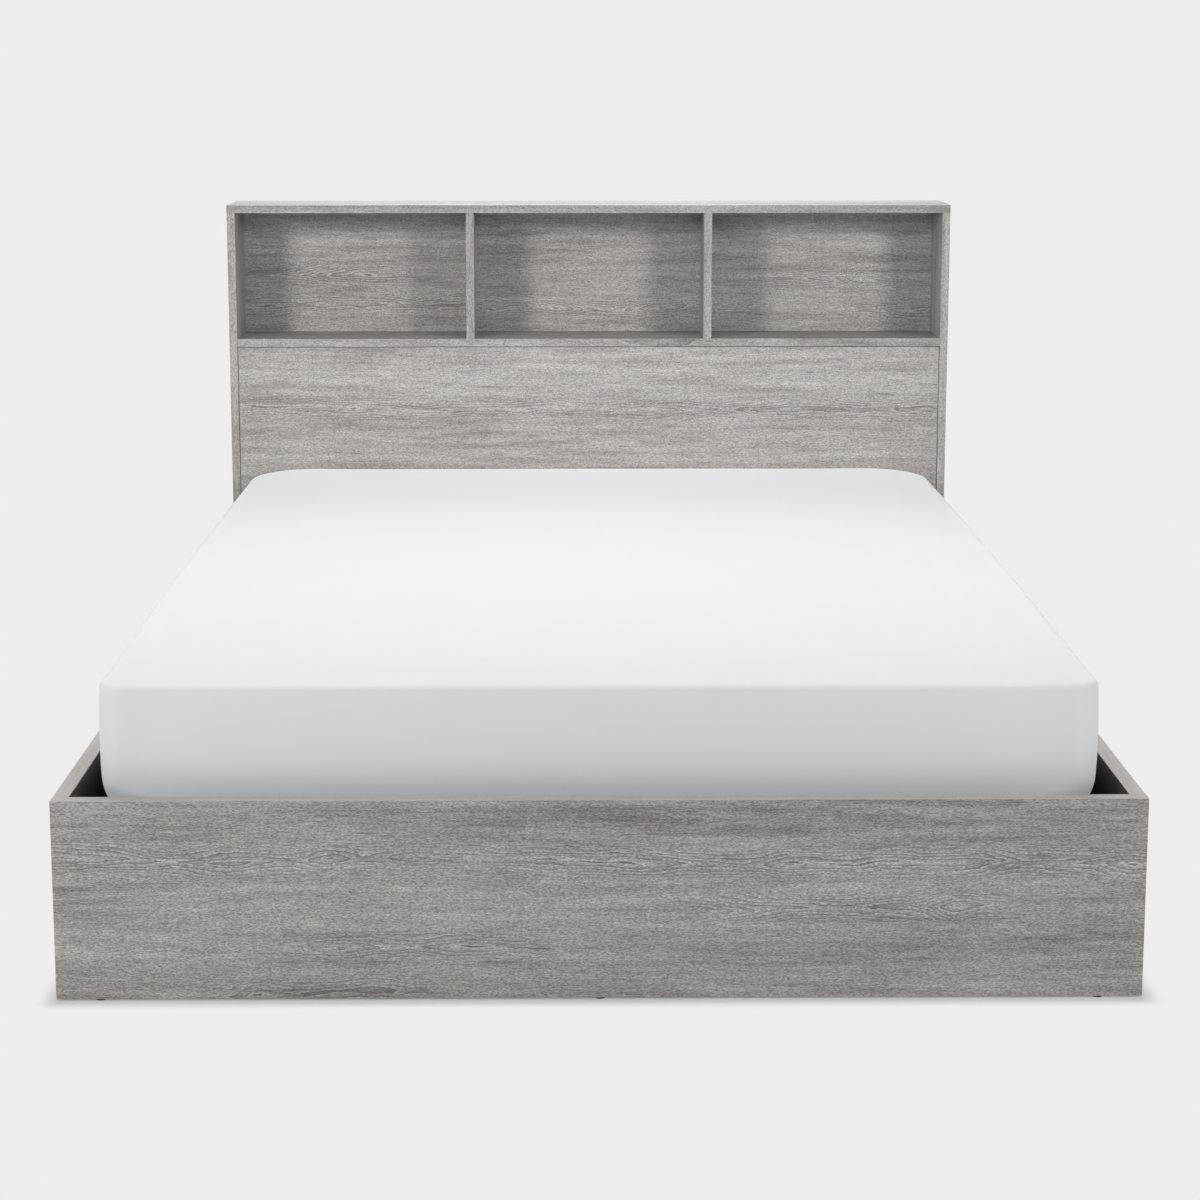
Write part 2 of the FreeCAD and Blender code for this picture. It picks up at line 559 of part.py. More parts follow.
# Guide channel on the right rail: a web and two flanges open towards the middle of the bed
channel_half = ROLLER_RADIUS + SEAT_GAP + CHANNEL_WALL
channel_end = ROLLER_RADIUS + CHANNEL_END_ROOM
channel_y = (ROLLER_Y - ROLLER_TRAVEL - channel_end, ROLLER_Y + channel_end)
channel_x = (RAIL_INNER - CHANNEL_DEPTH, RAIL_INNER)
channel = block(channel_x, channel_y, (SLIDE_HEIGHT - channel_half, SLIDE_HEIGHT + channel_half))
groove_half = channel_half - CHANNEL_WALL
groove_x = (channel_x[0] - OVERRUN, RAIL_INNER - CHANNEL_WALL)
groove_y = (channel_y[0] - OVERRUN, channel_y[1] + OVERRUN)
channel = channel.cut(block(groove_x, groove_y, (SLIDE_HEIGHT - groove_half, SLIDE_HEIGHT + groove_half)))
for side, sign in (("left", -1), ("right", 1)):
    for share in CHANNEL_SCREW_SHARES:
        start = spot(sign * groove_x[1], between(channel_y[0], channel_y[1], share), SLIDE_HEIGHT)
        grip = SCREW_GRIP - CHANNEL_WALL
        head = CHANNEL_SCREW_HEAD_HEIGHT
        mechanism_screws.append(sunk_screw(start, X_AXIS * sign, CHANNEL_WALL, grip, head))
        rail = side + "_side_rail"
        sunk_hole(side + "_guide_channel", rail, start, X_AXIS * sign, CHANNEL_WALL, grip, head)

# Rest blocks and pads under the platform's side tubes
rest_x = (TUBE_OUTER - REST_UNDERLAP, RAIL_INNER)
pad_top = TUBE_BOTTOM - SEAT_GAP
rest_top = pad_top - REST_PAD
rest_blocks = []
rest_pads = []
for share in REST_SPOT_SHARES:
    middle = between(FOOT_BACK, HEAD_FRONT, share)
    rest_y = (middle - REST_LENGTH / 2, middle + REST_LENGTH / 2)
    rest_blocks += pair(block(rest_x, rest_y, (rest_top - REST_HEIGHT, rest_top)))
    rest_pads += pair(block((rest_x[0], TUBE_OUTER), rest_y, (rest_top, pad_top)))

# Lift arm with the upper strut stud
arm_circles = [
    (LIFT_PIVOT[0], LIFT_PIVOT[1], ARM_FOOT_RADIUS),
    (PLATFORM_PIVOT[0], PLATFORM_PIVOT[1], ARM_HEAD_RADIUS),
    (STRUT_HEAD[0], STRUT_HEAD[1], ARM_STRUT_RADIUS),
]
lift_arm = hull_plate(arm_circles, ARM_INNER, ARM_OUTER)
for y, z in (LIFT_PIVOT, PLATFORM_PIVOT):
    hole_start = spot(ARM_INNER - OVERRUN, y, z)
    lift_arm = lift_arm.cut(rod(hole_start, X_AXIS, ARM_PLATE + 2 * OVERRUN, PIN_RADIUS + FIT))
head_stud_steps = (
    (eye_inner - PIN_PLAY - ARM_OUTER, STRUT_STUD_HEAD_RADIUS),
    (STRUT_EYE_WIDTH + 2 * PIN_PLAY, STRUT_STUD_RADIUS),
    (STRUT_STUD_HEAD_HEIGHT, STRUT_STUD_HEAD_RADIUS),
)
head_stud = turned_pin(STRUT_HEAD[0], STRUT_HEAD[1], ARM_OUTER, head_stud_steps)

# Gas strut, along the line between its two studs
strut_foot = spot(STRUT_X, STRUT_FOOT[0], STRUT_FOOT[1])
strut_head = spot(STRUT_X, STRUT_HEAD[0], STRUT_HEAD[1])
strut_line = (strut_head - strut_foot).normalize()
tube_end = STRUT_CLOSED - STRUT_EYE_RADIUS - STRUT_ROD_SHOW
rod_tail = tube_end - STRUT_ENGAGE - (STRUT_OPEN - STRUT_CLOSED)
bore_start = rod_tail - STRUT_ROD_SHOW / 2


def strut_eye(centre):
    return rod(centre - X_AXIS * (STRUT_EYE_WIDTH / 2), X_AXIS, STRUT_EYE_WIDTH, STRUT_EYE_RADIUS)


def stud_hole(centre):
    return rod(centre - X_AXIS * STRUT_EYE_WIDTH, X_AXIS, 2 * STRUT_EYE_WIDTH, STRUT_STUD_RADIUS + FIT)


cylinder_start = strut_foot + strut_line * STRUT_EYE_RADIUS
neck = rod(strut_foot, strut_line, 2 * STRUT_EYE_RADIUS, STRUT_NECK_RADIUS)
barrel_start = cylinder_start + strut_line * STRUT_ROD_SHOW
barrel_length = tube_end - STRUT_EYE_RADIUS - STRUT_ROD_SHOW
cylinder = rod(barrel_start, strut_line, barrel_length, STRUT_RADIUS)
cylinder = cylinder.fuse([neck, strut_eye(strut_foot)]).removeSplitter()
bore_length = tube_end - bore_start + OVERRUN
bore = rod(strut_foot + strut_line * bore_start, strut_line, bore_length, ROD_RADIUS + FIT)
strut_cylinder = cylinder.cut([bore, stud_hole(strut_foot)])
shaft = rod(strut_foot + strut_line * rod_tail, strut_line, STRUT_CLOSED - rod_tail, ROD_RADIUS)
strut_rod = shaft.fuse(strut_eye(strut_head)).removeSplitter().cut(stud_hole(strut_head))

# Platform tubes


def tube(x_span, y_span, z_span, along):
    """A hollow rectangular tube along the width or the length."""
    outer = block(x_span, y_span, z_span)
    inner_z = (z_span[0] + TUBE_WALL, z_span[1] - TUBE_WALL)
    if along == "length":
        inner_x = (x_span[0] + TUBE_WALL, x_span[1] - TUBE_WALL)
        return outer.cut(block(inner_x, (y_span[0] - OVERRUN, y_span[1] + OVERRUN), inner_z))
    inner_y = (y_span[0] + TUBE_WALL, y_span[1] - TUBE_WALL)
    return outer.cut(block((x_span[0] - OVERRUN, x_span[1] + OVERRUN), inner_y, inner_z))


tube_z = (TUBE_BOTTOM, TUBE_TOP)
side_tube_y = (PLATFORM_FOOT + PLUG_CAP, PLATFORM_HEAD - PLUG_CAP)
side_tube = tube((TUBE_INNER, TUBE_OUTER), side_tube_y, tube_z, "length")
cross_x = (-TUBE_INNER, TUBE_INNER)
foot_tube = tube(cross_x, (PLATFORM_FOOT, PLATFORM_FOOT + TUBE_WIDTH), tube_z, "width")
head_tube = tube(cross_x, (PLATFORM_HEAD - TUBE_WIDTH, PLATFORM_HEAD), tube_z, "width")
centre_y = (PLATFORM_FOOT + TUBE_WIDTH, PLATFORM_HEAD - TUBE_WIDTH)
centre_tube = tube((-TUBE_WIDTH / 2, TUBE_WIDTH / 2), centre_y, tube_z, "length")
plug_x = (TUBE_INNER + TUBE_WALL + FIT, TUBE_OUTER - TUBE_WALL - FIT)
plug_z = (TUBE_BOTTOM + TUBE_WALL + FIT, TUBE_TOP - TUBE_WALL - FIT)
foot_cap = block((TUBE_INNER, TUBE_OUTER), (PLATFORM_FOOT, side_tube_y[0]), tube_z)
foot_plug = foot_cap.fuse(block(plug_x, (side_tube_y[0], side_tube_y[0] + PLUG_DEPTH), plug_z))
head_cap = block((TUBE_INNER, TUBE_OUTER), (side_tube_y[1], PLATFORM_HEAD), tube_z)
head_plug = head_cap.fuse(block(plug_x, (side_tube_y[1] - PLUG_DEPTH, side_tube_y[1]), plug_z))
plugs = pair(foot_plug) + pair(head_plug)

# Platform plate with the pivot pin, the roller axle, the roller and its bolts
plate_circles = [
    (PLATFORM_PIVOT[0], TUBE_MIDDLE, PLATFORM_PLATE_RADIUS),
    (ROLLER_Y, SLIDE_HEIGHT, PLATFORM_PLATE_RADIUS),
    (ROLLER_Y, TUBE_MIDDLE, PLATFORM_PLATE_RADIUS),
]
platform_plate = hull_plate(plate_circles, TUBE_OUTER, PLATE_OUTER)
platform_pin_steps = (
    (ARM_INNER - PIN_PLAY - PLATE_OUTER, PIN_HEAD_RADIUS),
    (ARM_PLATE + 2 * PIN_PLAY, PIN_RADIUS),
    (PIN_HEAD_HEIGHT, PIN_HEAD_RADIUS),
)
platform_pin = turned_pin(PLATFORM_PIVOT[0], PLATFORM_PIVOT[1], PLATE_OUTER, platform_pin_steps)
roller_outer = RAIL_INNER - CHANNEL_WALL - 2 * PIN_PLAY
roller_inner = roller_outer - ROLLER_WIDTH
axle_steps = (
    (roller_inner - PIN_PLAY - PLATE_OUTER, ROLLER_COLLAR_RADIUS),
    (ROLLER_WIDTH + PIN_PLAY, ROLLER_AXLE_RADIUS),
)
roller_axle = turned_pin(ROLLER_Y, SLIDE_HEIGHT, PLATE_OUTER, axle_steps)
roller_start = spot(roller_inner, ROLLER_Y, SLIDE_HEIGHT)
roller = rod(roller_start, X_AXIS, ROLLER_WIDTH, ROLLER_RADIUS)
hub_start = roller_start - X_AXIS * OVERRUN
roller = roller.cut(rod(hub_start, X_AXIS, ROLLER_WIDTH + 2 * OVERRUN, ROLLER_AXLE_RADIUS + FIT))
platform_bolts = []
for side, sign in (("left", -1), ("right", 1)):
    for share in PLATFORM_BOLT_SHARES:
        y = between(PLATFORM_PIVOT[0], ROLLER_Y, share)
        head_start = spot(sign * (PLATE_OUTER + PLATFORM_BOLT_HEAD_HEIGHT), y, TUBE_MIDDLE)
        inward = X_AXIS * -sign
        shank = PLATFORM_BOLT_HEAD_HEIGHT + PLATFORM_BOLT_GRIP
        bolt = rod(head_start, inward, PLATFORM_BOLT_HEAD_HEIGHT, PLATFORM_BOLT_HEAD_RADIUS)
        bolt = bolt.fuse(rod(head_start, inward, shank, PLATFORM_BOLT_RADIUS))
        platform_bolts.append(bolt.removeSplitter())
        for name in (side + "_platform_plate", "platform_%s_tube" % side):
            drill(name, head_start, inward, shank + DOWEL_END_ROOM, PLATFORM_BOLT_RADIUS + FIT)

# Slats in their holders
slats = []
side_holders = []
centre_holders = []
holder_half = SLAT_WIDTH / 2 + SEAT_GAP + HOLDER_WALL
slat_end = TUBE_OUTER - HOLDER_END_WALL - SEAT_GAP
slat_start = HOLDER_END_WALL / 2 + SEAT_GAP
first_slat = centre_y[0] + holder_half
last_slat = centre_y[1] - holder_half
for index in range(SLAT_COUNT):
    middle = between(first_slat, last_slat, index / (SLAT_COUNT - 1))
    slat_y = (middle - SLAT_WIDTH / 2, middle + SLAT_WIDTH / 2)
    pocket_y = (slat_y[0] - SEAT_GAP, slat_y[1] + SEAT_GAP)
    holder_y = (middle - holder_half, middle + holder_half)
    slats.append(block((slat_start, slat_end), slat_y, (SLAT_BOTTOM, MATTRESS_BOTTOM)))
    holder_z = (TUBE_TOP, MATTRESS_BOTTOM)
    pocket_z = (SLAT_BOTTOM, MATTRESS_BOTTOM + OVERRUN)
    holder = block((TUBE_OUTER - HOLDER_REACH, TUBE_OUTER), holder_y, holder_z)
    pocket_x = (TUBE_OUTER - HOLDER_REACH - OVERRUN, TUBE_OUTER - HOLDER_END_WALL)
    side_holders.append(holder.cut(block(pocket_x, pocket_y, pocket_z)))
    middle_holder = block((-HOLDER_REACH, HOLDER_REACH), holder_y, holder_z)
    pocket_x = (HOLDER_END_WALL / 2, HOLDER_REACH + OVERRUN)
    middle_holder = middle_holder.cut(pair(block(pocket_x, pocket_y, pocket_z)))
    centre_holders.append(middle_holder)

# Mattress retainer: a low bent bar on the foot tube
retainer_top = RAIL_TOP - RETAINER_HIDE - RETAINER_RADIUS
retainer_y = MATTRESS_FOOT - RETAINER_CLEARANCE - RETAINER_RADIUS
half_bar = RETAINER_WIDTH / 2 - RETAINER_RADIUS
bend_out = half_bar - RETAINER_BEND
bend_low = retainer_top - RETAINER_BEND
bend_share = math.sqrt(0.5)
bend_x = bend_out + RETAINER_BEND * bend_share
bend_z = bend_low + RETAINER_BEND * bend_share
route = [
    Part.LineSegment(spot(-half_bar, retainer_y, TUBE_TOP), spot(-half_bar, retainer_y, bend_low)),
    Part.Arc(
        spot(-half_bar, retainer_y, bend_low),
        spot(-bend_x, retainer_y, bend_z),
        spot(-bend_out, retainer_y, retainer_top),
    ),
    Part.LineSegment(spot(-bend_out, retainer_y, retainer_top), spot(bend_out, retainer_y, retainer_top)),
    Part.Arc(
        spot(bend_out, retainer_y, retainer_top),
        spot(bend_x, retainer_y, bend_z),
        spot(half_bar, retainer_y, bend_low),
    ),
    Part.LineSegment(spot(half_bar, retainer_y, bend_low), spot(half_bar, retainer_y, TUBE_TOP)),
]
route_wire = Part.Wire([line.toShape() for line in route])
section = Part.Wire([Part.makeCircle(RETAINER_RADIUS, spot(-half_bar, retainer_y, TUBE_TOP), Z_AXIS)])
retainer = route_wire.makePipeShell([section], True, True)

# Pull strap: a folded webbing tab on the front of the foot tube, with a rolled end
strap_y = (PLATFORM_FOOT - 2 * STRAP_PLY, PLATFORM_FOOT)
strap_x = (-STRAP_WIDTH / 2, STRAP_WIDTH / 2)
roll_z = RAIL_TOP - STRAP_HIDE - STRAP_ROLL_RADIUS
strap_foot = TUBE_TOP - TUBE_HEIGHT * STRAP_DROP_SHARE
strap = block(strap_x, strap_y, (strap_foot, roll_z))
roll_start = spot(strap_x[0], PLATFORM_FOOT - STRAP_ROLL_RADIUS, roll_z)
strap = strap.fuse(rod(roll_start, X_AXIS, STRAP_WIDTH, STRAP_ROLL_RADIUS)).removeSplitter()
strap_bolt_start = spot(0, strap_y[0] - PLATFORM_BOLT_HEAD_HEIGHT, TUBE_MIDDLE)
strap_bolt = rod(strap_bolt_start, Y_AXIS, PLATFORM_BOLT_HEAD_HEIGHT, PLATFORM_BOLT_HEAD_RADIUS)
strap_shank = PLATFORM_BOLT_HEAD_HEIGHT + PLATFORM_BOLT_GRIP
strap_bolt = strap_bolt.fuse(rod(strap_bolt_start, Y_AXIS, strap_shank, PLATFORM_BOLT_RADIUS))
platform_bolts.append(strap_bolt.removeSplitter())
for name in ("pull_strap", "platform_foot_tube"):
    drill(name, strap_bolt_start, Y_AXIS, strap_shank + DOWEL_END_ROOM, PLATFORM_BOLT_RADIUS + FIT)

# Mattress: rounded sections from the bottom rim over the drawn-in sides to the crown


def mattress_section(height, inset, head_inset):
    """A rounded rectangle at one height; the head end has its own inset and larger corners."""
    side = MATTRESS_SIDE - inset
    foot = MATTRESS_FOOT + inset
    head = MATTRESS_HEAD - head_inset
    edges = []
    foot_r = MATTRESS_FOOT_CORNER
    head_r = MATTRESS_HEAD_CORNER
    centres = (
        (side - foot_r, foot + foot_r, foot_r, -90),
        (side - head_r, head - head_r, head_r, 0),
        (-side + head_r, head - head_r, head_r, 90),
        (-side + foot_r, foot + foot_r, foot_r, 180),
    )
    arcs = []
    for x, y, radius, start in centres:
        turns = [math.radians(start + turn) for turn in (0, 45, 90)]
        arcs.append([spot(x + radius * math.cos(a), y + radius * math.sin(a), height) for a in turns])
    for index, arc in enumerate(arcs):
        edges.append(Part.Arc(arc[0], arc[1], arc[2]).toShape())
        follower = arcs[(index + 1) % len(arcs)]
        edges.append(Part.LineSegment(arc[2], follower[0]).toShape())
    return Part.Wire(edges)


mattress_top = MATTRESS_BOTTOM + MATTRESS_THICKNESS
rim_rows = []
for angle in RIM_ANGLES:
    turn = math.radians(angle)
    inset_share = 1 - math.sin(turn)
    rise = MATTRESS_RIM * (1 - math.cos(turn))
    rim_rows.append((rise, MATTRESS_RIM * inset_share, MATTRESS_HEAD_RIM * inset_share))
sections = [(MATTRESS_BOTTOM + rise, inset, head_inset) for rise, inset, head_inset in rim_rows]
middle = MATTRESS_BOTTOM + MATTRESS_THICKNESS / 2
sections.append((middle, MATTRESS_DRAW_IN, MATTRESS_DRAW_IN))
for rise, inset, head_inset in reversed(rim_rows):
    sections.append((mattress_top - rise, inset, head_inset))
for inset_share, rise_share in zip(CROWN_INSET_SHARES, CROWN_RISE_SHARES):
    inset = MATTRESS_HEAD_RIM + MATTRESS_SIDE * inset_share
    sections.append((mattress_top + MATTRESS_CROWN * rise_share, inset, inset))
mattress = Part.makeLoft([mattress_section(*row) for row in sections], True, True)

# Nodes of the bed box
save("foot_panel", foot_panel)
save("left_side_rail", mirrored(right_rail))
save("right_side_rail", right_rail)
save("headboard_left_side", mirrored(head_side))
save("headboard_right_side", head_side)
save("headboard_top", head_top)
save("headboard_shelf", shelf)
save("headboard_left_divider", mirrored(divider))
save("headboard_right_divider", divider)
save("headboard_back_panel", back_panel)
save("headboard_front_panel", front_panel)
save("headboard_rear_brace", rear_brace)
save("storage_floor_left", mirrored(floor_right))
save("storage_floor_right", floor_right)
save("floor_centre_beam", beam)
save("floor_side_cleats", pair(side_cleat))
save("floor_end_cleats", end_cleats)
save("floor_glides", glides)
save("corner_brackets", brackets)
save("bracket_screws", bracket_screws)
save("joint_cam_locks", cams)
save("joint_cam_bolts", cam_bolts)
save("joint_dowels", dowels)
save("platform_rests", rest_blocks)
save("platform_rest_pads", rest_pads)
save("left_hinge_plate", mirrored(hinge_plate))
save("right_hinge_plate", hinge_plate)
save("left_guide_channel", mirrored(channel))
save("right_guide_channel", channel)
save("mechanism_screws", mechanism_screws)
save("lift_pivot_pins", pair(lift_pin))
save("strut_foot_studs", pair(foot_stud))

# Nodes of the lift linkage
save("left_lift_arm", mirrored(lift_arm))
save("right_lift_arm", lift_arm)
save("strut_head_studs", pair(head_stud))
save("left_strut_cylinder", mirrored(strut_cylinder))
save("right_strut_cylinder", strut_cylinder)
save("left_strut_rod", mirrored(strut_rod))
save("right_strut_rod", strut_rod)
save("guide_rollers", pair(roller))

# Nodes of the lifting platform
save("platform_left_tube", mirrored(side_tube))
save("platform_right_tube", side_tube)
save("platform_head_tube", head_tube)
save("platform_foot_tube", foot_tube)
save("platform_centre_tube", centre_tube)
save("platform_tube_plugs", plugs)
save("left_platform_plate", mirrored(platform_plate))
save("right_platform_plate", platform_plate)
save("platform_pivot_pins", pair(platform_pin))
save("roller_axles", pair(roller_axle))
save("platform_bolts", platform_bolts)
save("left_slats", [mirrored(slat) for slat in slats])
save("right_slats", slats)
save("side_slat_holders", side_holders + [mirrored(holder) for holder in side_holders])
save("centre_slat_holders", centre_holders)
save("mattress_retainer", retainer)
save("pull_strap", strap)
save("mattress", mattress)
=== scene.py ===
"""Looks of an ottoman bed: grey oak print boards, a smooth white mattress and a black lifting frame."""

import logging
import math
from dataclasses import astuple, dataclass, replace
from enum import Enum
from functools import cache
from typing import Callable, Optional, Sequence, Union

import bmesh
import bpy
from bpy.types import Material, Mesh, Node, NodeSocket, NodeTree, Object, World
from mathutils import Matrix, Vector


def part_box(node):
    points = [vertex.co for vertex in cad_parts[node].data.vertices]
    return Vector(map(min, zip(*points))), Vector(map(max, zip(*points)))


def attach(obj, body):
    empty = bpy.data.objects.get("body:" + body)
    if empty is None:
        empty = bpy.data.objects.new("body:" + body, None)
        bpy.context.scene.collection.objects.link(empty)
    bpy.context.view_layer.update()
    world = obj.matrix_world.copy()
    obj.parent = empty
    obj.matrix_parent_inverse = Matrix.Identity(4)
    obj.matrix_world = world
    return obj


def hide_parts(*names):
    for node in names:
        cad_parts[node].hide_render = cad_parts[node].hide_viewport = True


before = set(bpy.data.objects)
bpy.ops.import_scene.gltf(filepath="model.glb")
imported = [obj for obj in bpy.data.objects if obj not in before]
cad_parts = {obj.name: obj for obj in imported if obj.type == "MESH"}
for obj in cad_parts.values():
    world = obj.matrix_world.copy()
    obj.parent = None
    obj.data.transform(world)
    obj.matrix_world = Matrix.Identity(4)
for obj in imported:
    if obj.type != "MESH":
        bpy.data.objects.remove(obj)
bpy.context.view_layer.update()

log = logging.getLogger("ottoman_bed")

Colour = tuple[float, float, float]
Point = tuple[float, float, float]
Span = tuple[float, float]


# Node benches


class Bench:
    """Places and links the nodes of one node tree."""

    prefix = "ShaderNode"

    def __init__(self, tree: NodeTree) -> None:
        """Keeps the tree to work in."""
        self.tree = tree

    def feed(self, socket: NodeSocket, value: object) -> None:
        """Links or sets an input.

        Args:
            socket: The input.
            value: A wire, a socket, a list of sockets to join, an RGB triple or another plain value.
        """
        if isinstance(value, Wire):
            value = value.socket
        if isinstance(value, list):
            for each in value:
                self.feed(socket, each)
        elif isinstance(value, NodeSocket):
            self.tree.links.new(value, socket)
        else:
            socket.default_value = (*value, 1.0) if socket.type == "RGBA" else value

    def node(self, kind: str, feeds: Optional[dict] = None, **settings: object) -> Node:
        """Adds a node.

        Args:
            kind: The node's type, without the prefix that most nodes of such a tree share.
            feeds: Values for its inputs, by name or by number.
            settings: Properties to set first.

        Returns:
            The node.
        """
        made = self.tree.nodes.new(kind if "Node" in kind else self.prefix + kind)
        for name, setting in settings.items():
            setattr(made, name, setting)
        for key, value in (feeds or {}).items():
            if isinstance(key, str):
                key = next(i for i, s in enumerate(made.inputs) if s.name == key and s.enabled)
            self.feed(made.inputs[key], value)
        return made


def arithmetic(operation: str, swapped: bool = False) -> Callable[["Wire", object], "Wire"]:
    """Makes an operator for wires.

    Args:
        operation: The operation of the Math node that it adds.
        swapped: Whether the other value comes first.

    Returns:
        The operator.
    """

    def apply(wire: "Wire", other: object) -> "Wire":
        """Adds the Math node."""
        return wire.bench.math(operation, *((other, wire) if swapped else (wire, other)))

    return apply


@dataclass(frozen=True)
class Wire:
    """A value on a shader bench. Arithmetic with it adds Math nodes."""

    bench: "ShaderBench"
    socket: NodeSocket

    __add__ = __radd__ = arithmetic("ADD")
    __mul__ = __rmul__ = arithmetic("MULTIPLY")
    __sub__ = arithmetic("SUBTRACT")
    __rsub__ = arithmetic("SUBTRACT", swapped=True)
    __truediv__ = arithmetic("DIVIDE")
    __pow__ = arithmetic("POWER")
    __lt__ = arithmetic("LESS_THAN")
    __gt__ = arithmetic("GREATER_THAN")

    def __abs__(self) -> "Wire":
        """The size of the value."""
        return self.bench.math("ABSOLUTE", self)


@dataclass(frozen=True)
class Layer:
    """A noise's features per metre along and across the grain, its detail and its roughness."""

    along: float
    across: float
    detail: float
    rough: float = 0.5


class ShaderBench(Bench):
    """Places the nodes of one shader tree or group."""

    def math(self, operation: str, *values: object, clamp: bool = False) -> Wire:
        """Adds a Math node on these values."""
        made = self.node("Math", dict(enumerate(values)), operation=operation, use_clamp=clamp)
        return Wire(self, made.outputs[0])

    def vector(self, operation: str, *values: object) -> NodeSocket:
        """Adds a Vector Math node on these values."""
        return self.node("VectorMath", dict(enumerate(values)), operation=operation).outputs[0]

    def scaled(self, vector: object, scale: object) -> NodeSocket:
        """Scales a vector or a colour by a value."""
        return self.node("VectorMath", {0: vector, "Scale": scale}, operation="SCALE").outputs[0]

    def wires(self, node: Node) -> dict[str, Wire]:
        """The outputs of a node, by name."""
        return {socket.name: Wire(self, socket) for socket in node.outputs}

    def parts(self, vector: object) -> dict[str, Wire]:
        """The values of a vector, by axis."""
        return self.wires(self.node("SeparateXYZ", {0: vector}))

    def joined(self, *values: object) -> NodeSocket:
        """A vector of up to three values."""
        return self.node("CombineXYZ", dict(enumerate(values))).outputs[0]

    def place(self) -> NodeSocket:
        """The place on the object, in metres."""
        return self.node("TexCoord").outputs["Object"]

    def group(self, tree: NodeTree, feeds: dict[str, object]) -> dict[str, Wire]:
        """Places a node group and gives its outputs by name."""
        return self.wires(self.node("Group", feeds, node_tree=tree))

    def random(self, place: object) -> dict[str, Wire]:
        """The Value and the Color of white noise at a place."""
        return self.wires(self.node("TexWhiteNoise", {"Vector": place}, noise_dimensions="3D"))

    def noise(self, place: object, layer: Layer) -> Wire:
        """Adds a noise.

        Args:
            place: The place in metres, with the grain along its first axis.
            layer: The noise's scales.

        Returns:
            The noise's value.
        """
        spot = self.vector("MULTIPLY", place, (layer.along, layer.across, layer.across))
        feeds = {"Vector": spot, "Scale": 1.0, "Detail": layer.detail, "Roughness": layer.rough}
        return self.wires(self.node("TexNoise", feeds, noise_dimensions="3D"))["Fac"]

    def rounded(self, value: Wire, radius: float) -> Wire:
        """The size of a value, rounded near nought by a radius."""
        return self.math("SQRT", value * value + radius * radius)

    def smooth(self, value: object, low: float, high: float, start: float = 0.0, end: float = 1.0) -> Wire:
        """Adds a smooth step.

        Args:
            value: The value to step.
            low: Where the step starts.
            high: Where the step ends.
            start: The result at and before low.
            end: The result at and after high.

        Returns:
            The stepped value.
        """
        feeds = {"Value": value, "From Min": low, "From Max": high, "To Min": start, "To Max": end}
        return self.wires(self.node("MapRange", feeds, interpolation_type="SMOOTHSTEP"))["Result"]

    def mix(self, share: object, first: object, second: object) -> NodeSocket:
        """Mixes two colours, with a share of the second one."""
        return self.node("Mix", {0: share, 6: first, 7: second}, data_type="RGBA").outputs[2]

    def ramp(self, value: object, stops: dict[float, Colour]) -> NodeSocket:
        """Adds a colour ramp.

        Args:
            value: The value to colour.
            stops: Colours by their place on the ramp.

        Returns:
            The ramp's colour.
        """
        made = self.node("ValToRGB", {0: value})
        elements = made.color_ramp.elements
        while len(elements) < len(stops):
            elements.new(0.5)
        for element, (place, colour) in zip(elements, stops.items()):
            element.position = place
            element.color = (*colour, 1.0)
        return made.outputs[0]


class MaterialBench(ShaderBench):
    """The bench of a new material and its Principled shader."""

    def __init__(self, name: str) -> None:
        """Starts the material.

        Args:
            name: The material's name.
        """
        self.material = bpy.data.materials.new(name)
        self.material.use_nodes = True
        super().__init__(self.material.node_tree)
        self.shell = self.tree.nodes["Principled BSDF"]

    def show(self, looks: dict[str, object], height: object, strength: float, depth: float) -> None:
        """Feeds the shader.

        Args:
            looks: Values for the shader's inputs, by name.
            height: The height of the bump.
            strength: The bump's strength.
            depth: The bump's depth in metres.
        """
        bump = self.node("Bump", {"Strength": strength, "Distance": depth, "Height": height})
        for name, value in {**looks, "Normal": bump.outputs["Normal"]}.items():
            self.feed(self.shell.inputs[name], value)


class GroupBench(ShaderBench):
    """The bench of a new shader node group."""

    def __init__(self, name: str, inputs: dict[str, float]) -> None:
        """Starts the group, with a vector input and value inputs.

        Args:
            name: The group's name.
            inputs: Names and default values of the value inputs.
        """
        super().__init__(bpy.data.node_groups.new(name, "ShaderNodeTree"))
        face = self.tree.interface
        face.new_socket(name="Vector", in_out="INPUT", socket_type="NodeSocketVector")
        for label, value in inputs.items():
            face.new_socket(name=label, in_out="INPUT", socket_type="NodeSocketFloat").default_value = value
        self.given = self.wires(self.node("NodeGroupInput"))

    def ended(self, **results: Wire) -> NodeTree:
        """Ends the group with an output for each result.

        Args:
            results: The results by the outputs' names.

        Returns:
            The group.
        """
        for label in results:
            self.tree.interface.new_socket(name=label, in_out="OUTPUT", socket_type="NodeSocketFloat")
        self.node("NodeGroupOutput", results)
        return self.tree


# Shared effects


